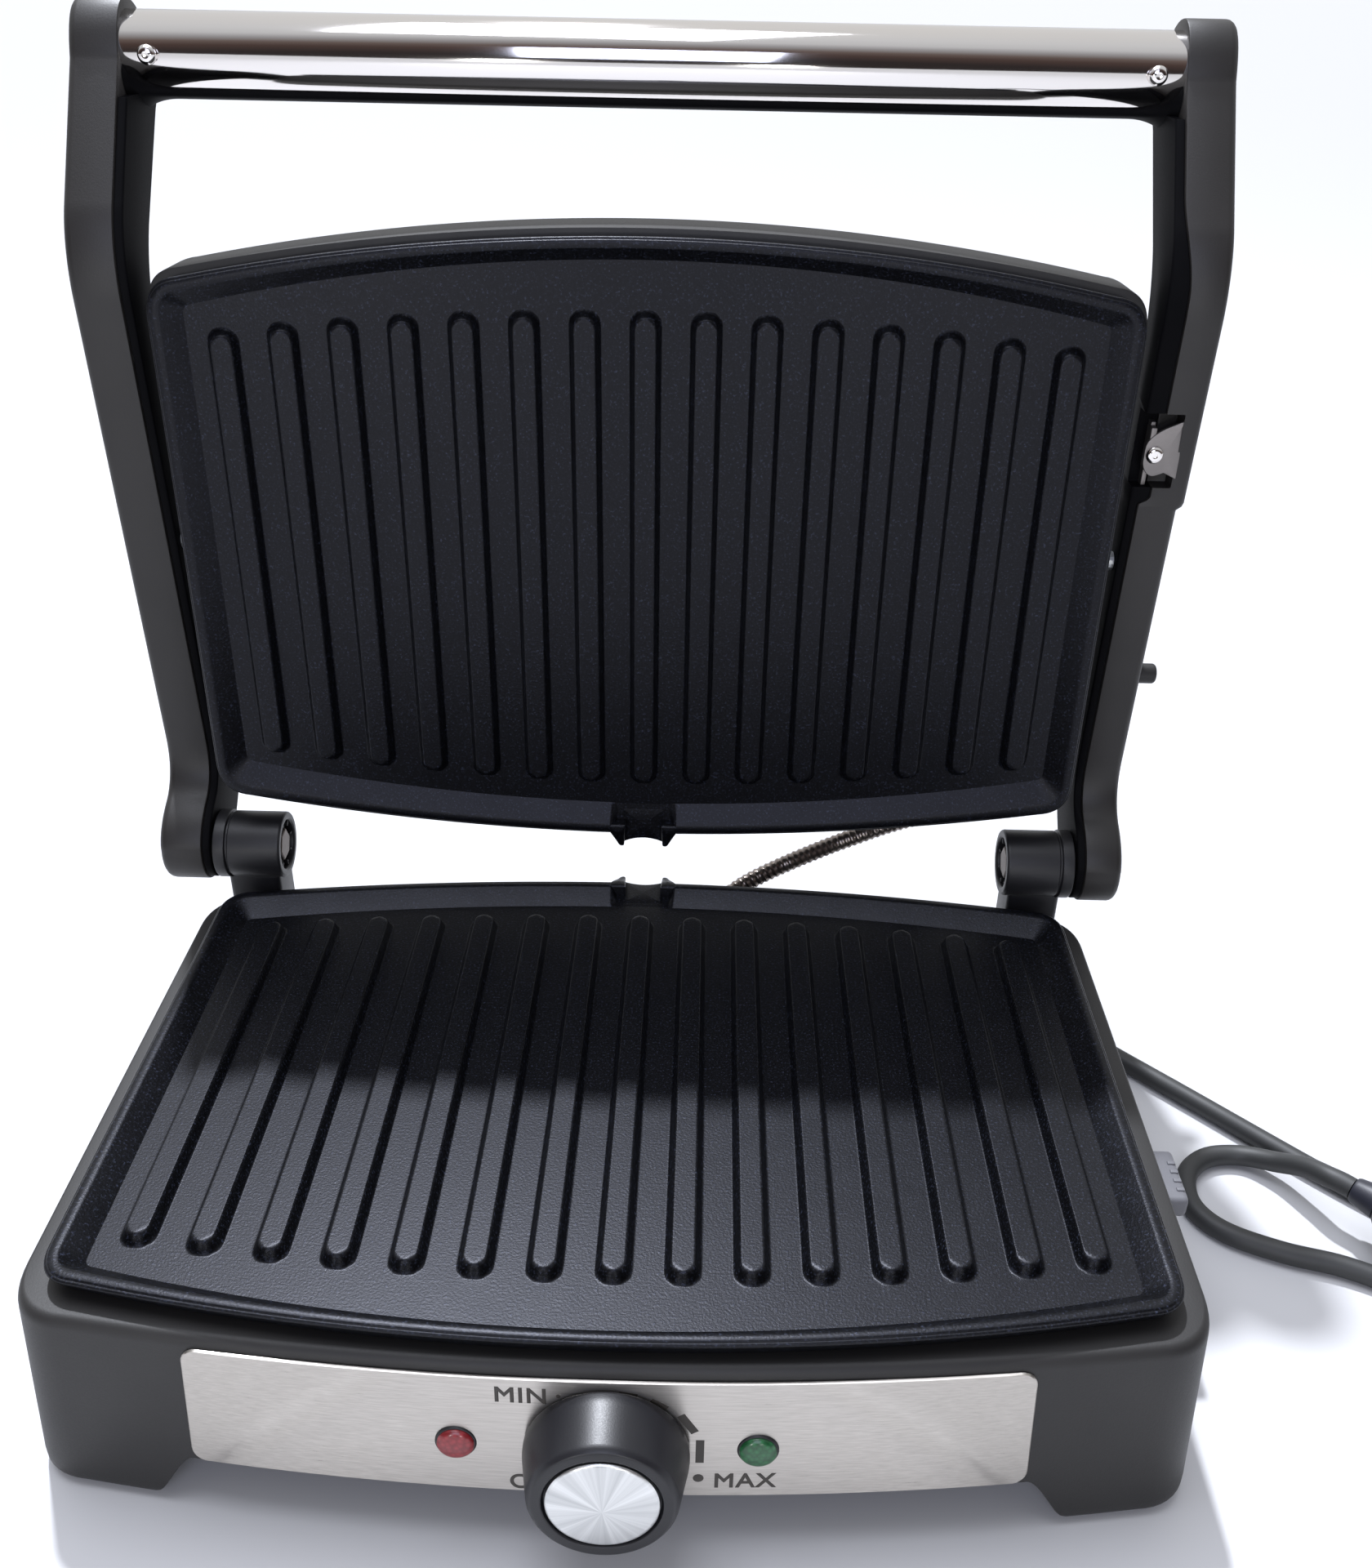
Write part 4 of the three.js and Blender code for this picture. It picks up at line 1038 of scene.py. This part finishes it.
def plug():
    """Round plug with two pins and a ribbed neck; the ribs are 0.45 mm ripples over the taper."""
    h = np.linspace(8, 21, 60)
    neck = np.interp(h, [8, 11, 14.2, 20, 21], [5.6, 8, 10.6, 14.2, 14.6])
    ripple = 0.45 * np.abs(np.sin(np.pi * (h - 8) / 2.6)) - 0.45
    profile = [[0, 0], [3.9, 0, 0.3], [4.3, 1.0], [5.5, 7.9]] + np.column_stack([neck + ripple, h]).tolist()
    profile += [[16.1, 26, 2], [16.6, 38.8, 1], [16.1, 40, 0.6], [0, 40]]
    piece = build("plug_moulding", [lathe(profile, PLUG_START, PLUG_AXIS, 96)], PLUG_RUBBER)
    seat(piece, "base", "cord_rubber", "plug_body")
    side = np.array([0.7071, 0.7071, 0])
    for k, offset in enumerate((-9.5, 9.5)):
        pin = lathe([[0, 39.5], [2.4, 39.5], [2.4, 58, 0.4], [1.7, 59.2, 0.4], [0, 59.3]],
                    PLUG_START + offset * side, PLUG_AXIS, 40)
        seat(build(f"plug_contact_{k + 1}", [pin], BRASS), "base", "brass", f"plug_pin_{k + 1}")


def strain_relief():
    """Moulded sleeve: a flange against the wall and flex grooves 3 mm apart along the taper."""
    h = np.linspace(6.5, 27.4, 100)
    radius = np.interp(h, [6.5, 27.4], [5.4, 4.2]) - 0.5 * smooth((np.sin(2 * np.pi * h / 3.0) - 0.2) / 0.6)
    profile = [[0, 0], [4.3, 0], [4.3, 3.4], [6.6, 3.4, 0.3], [6.6, 5.4, 0.5], [5.5, 6.0, 0.3]]
    profile += np.column_stack([radius, h]).tolist() + [[4.2, 27.7], [3.6, 28], [0, 28]]
    piece = build("cord_sleeve", [lathe(profile, np.array([60, 97.2, 27.5]), (0, 1, 0), 64)], CORD_RUBBER)
    seat(piece, "base", "cord_rubber", "cord_strain_relief")


def conduit():
    """Armoured hose: a round tube whose radius ripples by 0.25 mm every 2.2 mm. Its lower run bends
    across the hinge and its upper run between the arms and the head."""
    path = smooth_path([(22, 101.5, 44), (22.4, 104.5, 44.2), (27, 110, 48), (38, 115, 55), (60, 118, 66),
                        (84, 119, 77), (100, 117, 85), (105.5, 116, 91)], 0.55)
    along = np.concatenate([[0], np.cumsum(np.linalg.norm(np.diff(path, axis=0), axis=1))])
    radius = 3.0 + 0.25 * np.sin(2 * np.pi * along / 2.2)
    split = int(0.72 * len(path))
    low = build("conduit_lower", [tube(path[:split + 2], radius[:split + 2], 28)], HOSE)
    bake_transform(low)
    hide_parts("heater_lead_conduit")
    high = build("conduit_upper", [tube(path[split:], radius[split:], 28)], HOSE)
    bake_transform(high)


# ---- dial print ----------------------------------------------------------------------------------


def print_shell(outline_xz):
    """A flat mark on the panel from an anticlockwise (x, z) ring, 0.06 mm thick."""
    rings = []
    for raise_mm in (-0.02, 0.04):
        y = front_wall(outline_xz[:, 0], outline_xz[:, 1]) - PANEL_FACE - raise_mm
        rings.append(np.column_stack([outline_xz[:, 0], y, outline_xz[:, 1]]))
    return loft(rings)


def dial_marks():
    """Marks round the knob: two dots, and dashes that thicken clockwise."""
    shells = []
    a = np.linspace(0, 2 * np.pi, 28, endpoint=False)
    circle = np.column_stack([np.cos(a), np.sin(a)])
    for x, z, r in ((22.7, 25.2, 1.35), (-11.6, 52.2, 0.55)):
        shells.append(print_shell(np.array([x, z]) + r * circle))
    for x0, z0, x1, z1, width in ((22.9, 30.6, 22.9, 38.4, 2.1), (18.0, 46.8, 21.6, 41.0, 2.1),
                                  (-5.5, 53.2, -2.2, 54.0, 0.6), (3.0, 54.0, 7.5, 53.2, 0.9),
                                  (10.8, 51.8, 14.8, 49.2, 1.2)):
        run = np.array([x1 - x0, z1 - z0])
        side = np.array([run[1], -run[0]]) / np.linalg.norm(run) * width / 2
        p, q = np.array([x0, z0]), np.array([x1, z1])
        shells.append(print_shell(np.array([p - side, p + side, q + side, q - side])))
    marks = build("dial_marks", shells, PRINT_INK)
    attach(marks, "base")


def dial_words():
    """MIN, O and MAX, laid on the panel's bowed face."""
    for word, x, z in (("MIN", -27.4, 49.6), ("O", -24.4, 20.0), ("MAX", 26.4, 22.0)):
        curve = bpy.data.curves.new(f"word_{word}", "FONT")
        curve.body = word
        curve.size = 0.0069
        curve.space_character = 1.1
        curve.bevel_depth = 0.00014
        curve.bevel_resolution = 0
        curve.extrude = 0.00003
        letter = add_object(f"word_{word}", curve)
        mesh = evaluated_mesh(letter)
        bpy.data.objects.remove(letter)
        co = np.empty(len(mesh.vertices) * 3)
        mesh.vertices.foreach_get("co", co)
        co = 1000 * co.reshape(-1, 3)
        px, pz = co[:, 0] + x, co[:, 1] + z
        py = front_wall(px, pz) - PANEL_FACE - co[:, 2]
        mesh.vertices.foreach_set("co", metres(np.column_stack([px, py, pz])).ravel())
        mesh.materials.clear()
        mesh.materials.append(PRINT_INK)
        printed = add_object(f"print_{word.lower()}", mesh)
        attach(printed, "base")


# ---- light and floor -----------------------------------------------------------------------------


def stage_floor():
    """A pale tabletop that runs far past the view."""
    mesh = bpy.data.meshes.new("floor")
    far = 30.0
    mesh.from_pydata([(-far, -far, 0), (far, -far, 0), (far, far, 0), (-far, far, 0)], [], [(0, 1, 2, 3)])
    mesh.materials.append(finish("pale_tabletop", {"Base Color": linear("bdbdbe"), "Roughness": 0.7})[0])
    floor = add_object("floor", mesh)


def lamp(kind, name, strength, towards, distance=2.0, size=1.0, angle=3.0, colour="ffffff"):
    """A lamp that shines on the middle of the part from the given direction."""
    data = bpy.data.lights.new(name, kind)
    data.energy = strength
    data.color = linear(colour)[:3]
    if kind == "AREA":
        data.shape = "SQUARE"
        data.size = size
    else:
        data.angle = math.radians(angle)
    light = add_object(name, data)
    direction = Vector(towards).normalized()
    light.location = Vector((0, 0, 0.12)) + distance * direction
    light.rotation_euler = direction.to_track_quat("Z", "Y").to_euler()


def surroundings():
    """A room that is bright overhead and at the back, and dark and warm low down at the front. Its
    shade follows z + 0.9 y of the direction, from -1.35 to 1.35."""
    world = bpy.data.worlds.new("room")
    bpy.context.scene.world = world
    world.use_nodes = True
    tree = world.node_tree
    place = add(tree, "ShaderNodeTexCoord")
    parts = add(tree, "ShaderNodeSeparateXYZ", None, Vector=place.outputs["Generated"])
    towards_back = add(tree, "ShaderNodeMath", {"operation": "MULTIPLY"}, Value=parts.outputs["Y"])
    towards_back.inputs[1].default_value = 0.9
    total = add(tree, "ShaderNodeMath", {"operation": "ADD"}, Value=parts.outputs["Z"])
    tree.links.new(towards_back.outputs[0], total.inputs[1])
    lift = add(tree, "ShaderNodeMapRange", {"From Min": -1.35, "From Max": 1.35}, Value=total.outputs[0])
    shade = ramp(tree, lift.outputs["Result"], (0.0, "302c2c"), (0.3, "3a3434"), (0.42, "5a4a46"),
                 (0.5, "7a6c68"), (0.6, "b9b9bd"), (0.68, "e6e8ec"), (0.8, "f4f6fa"), (1.0, "ffffff"))
    back = tree.nodes["Background"]
    tree.links.new(shade, back.inputs["Color"])
    back.inputs["Strength"].default_value = 0.8
    bpy.context.scene.view_settings.view_transform = "Standard"


def finish_cad_nodes():
    """Real finishes for the inner pieces that are shown as they were modelled."""
    finishes = {"bottom_cover": PLASTIC_DARK, "element": ELEMENT, "reflector": SHEET,
                "thermostat_body": SHEET, "shaft": BRASS, "screw": SHEET, "bracket": SHEET, "pin": SHEET,
                "terminal": CERAMIC, "lamp": LAMP_GLASS, "core": PLASTIC_DARK}
    for name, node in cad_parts.items():
        for key, material in finishes.items():
            if key in name:
                node.data.materials.clear()
                node.data.materials.append(material)
                break


# ---- the scene -----------------------------------------------------------------------------------

plug()
power_cord()
strain_relief()
base_housing()
control_panel()
dial_marks()
dial_words()
knob()
lens("power_lens_dome", -LAMP_X, RED_LENS, "red_lens", "power_lens")
lens("ready_lens_dome", LAMP_X, GREEN_LENS, "green_lens", "ready_lens")
feet()
storage_latch()
drip_tray()
hinge("left", -1)
hinge("right", 1)
grill_plates()
upper_cover()
arms()
handle()
arm_fittings()
conduit()
finish_cad_nodes()

stage_floor()
surroundings()
lamp("SUN", "key", 4.6, (-0.138, 0.45, 0.882), angle=2.5, colour="f2f6ff")
lamp("AREA", "overhead", 18.0, (-0.15, 0.05, 1.0), 1.6, 1.0, colour="eef2ff")
lamp("AREA", "window", 8.0, (-0.05, -0.857, 0.515), 1.6, 0.8, colour="dfe6ff")
lamp("AREA", "left_strip", 2.5, (-0.34, -0.93, 0.12), 1.5, 0.12)
lamp("AREA", "right_strip", 2.0, (0.21, -0.96, 0.12), 1.5, 0.14)
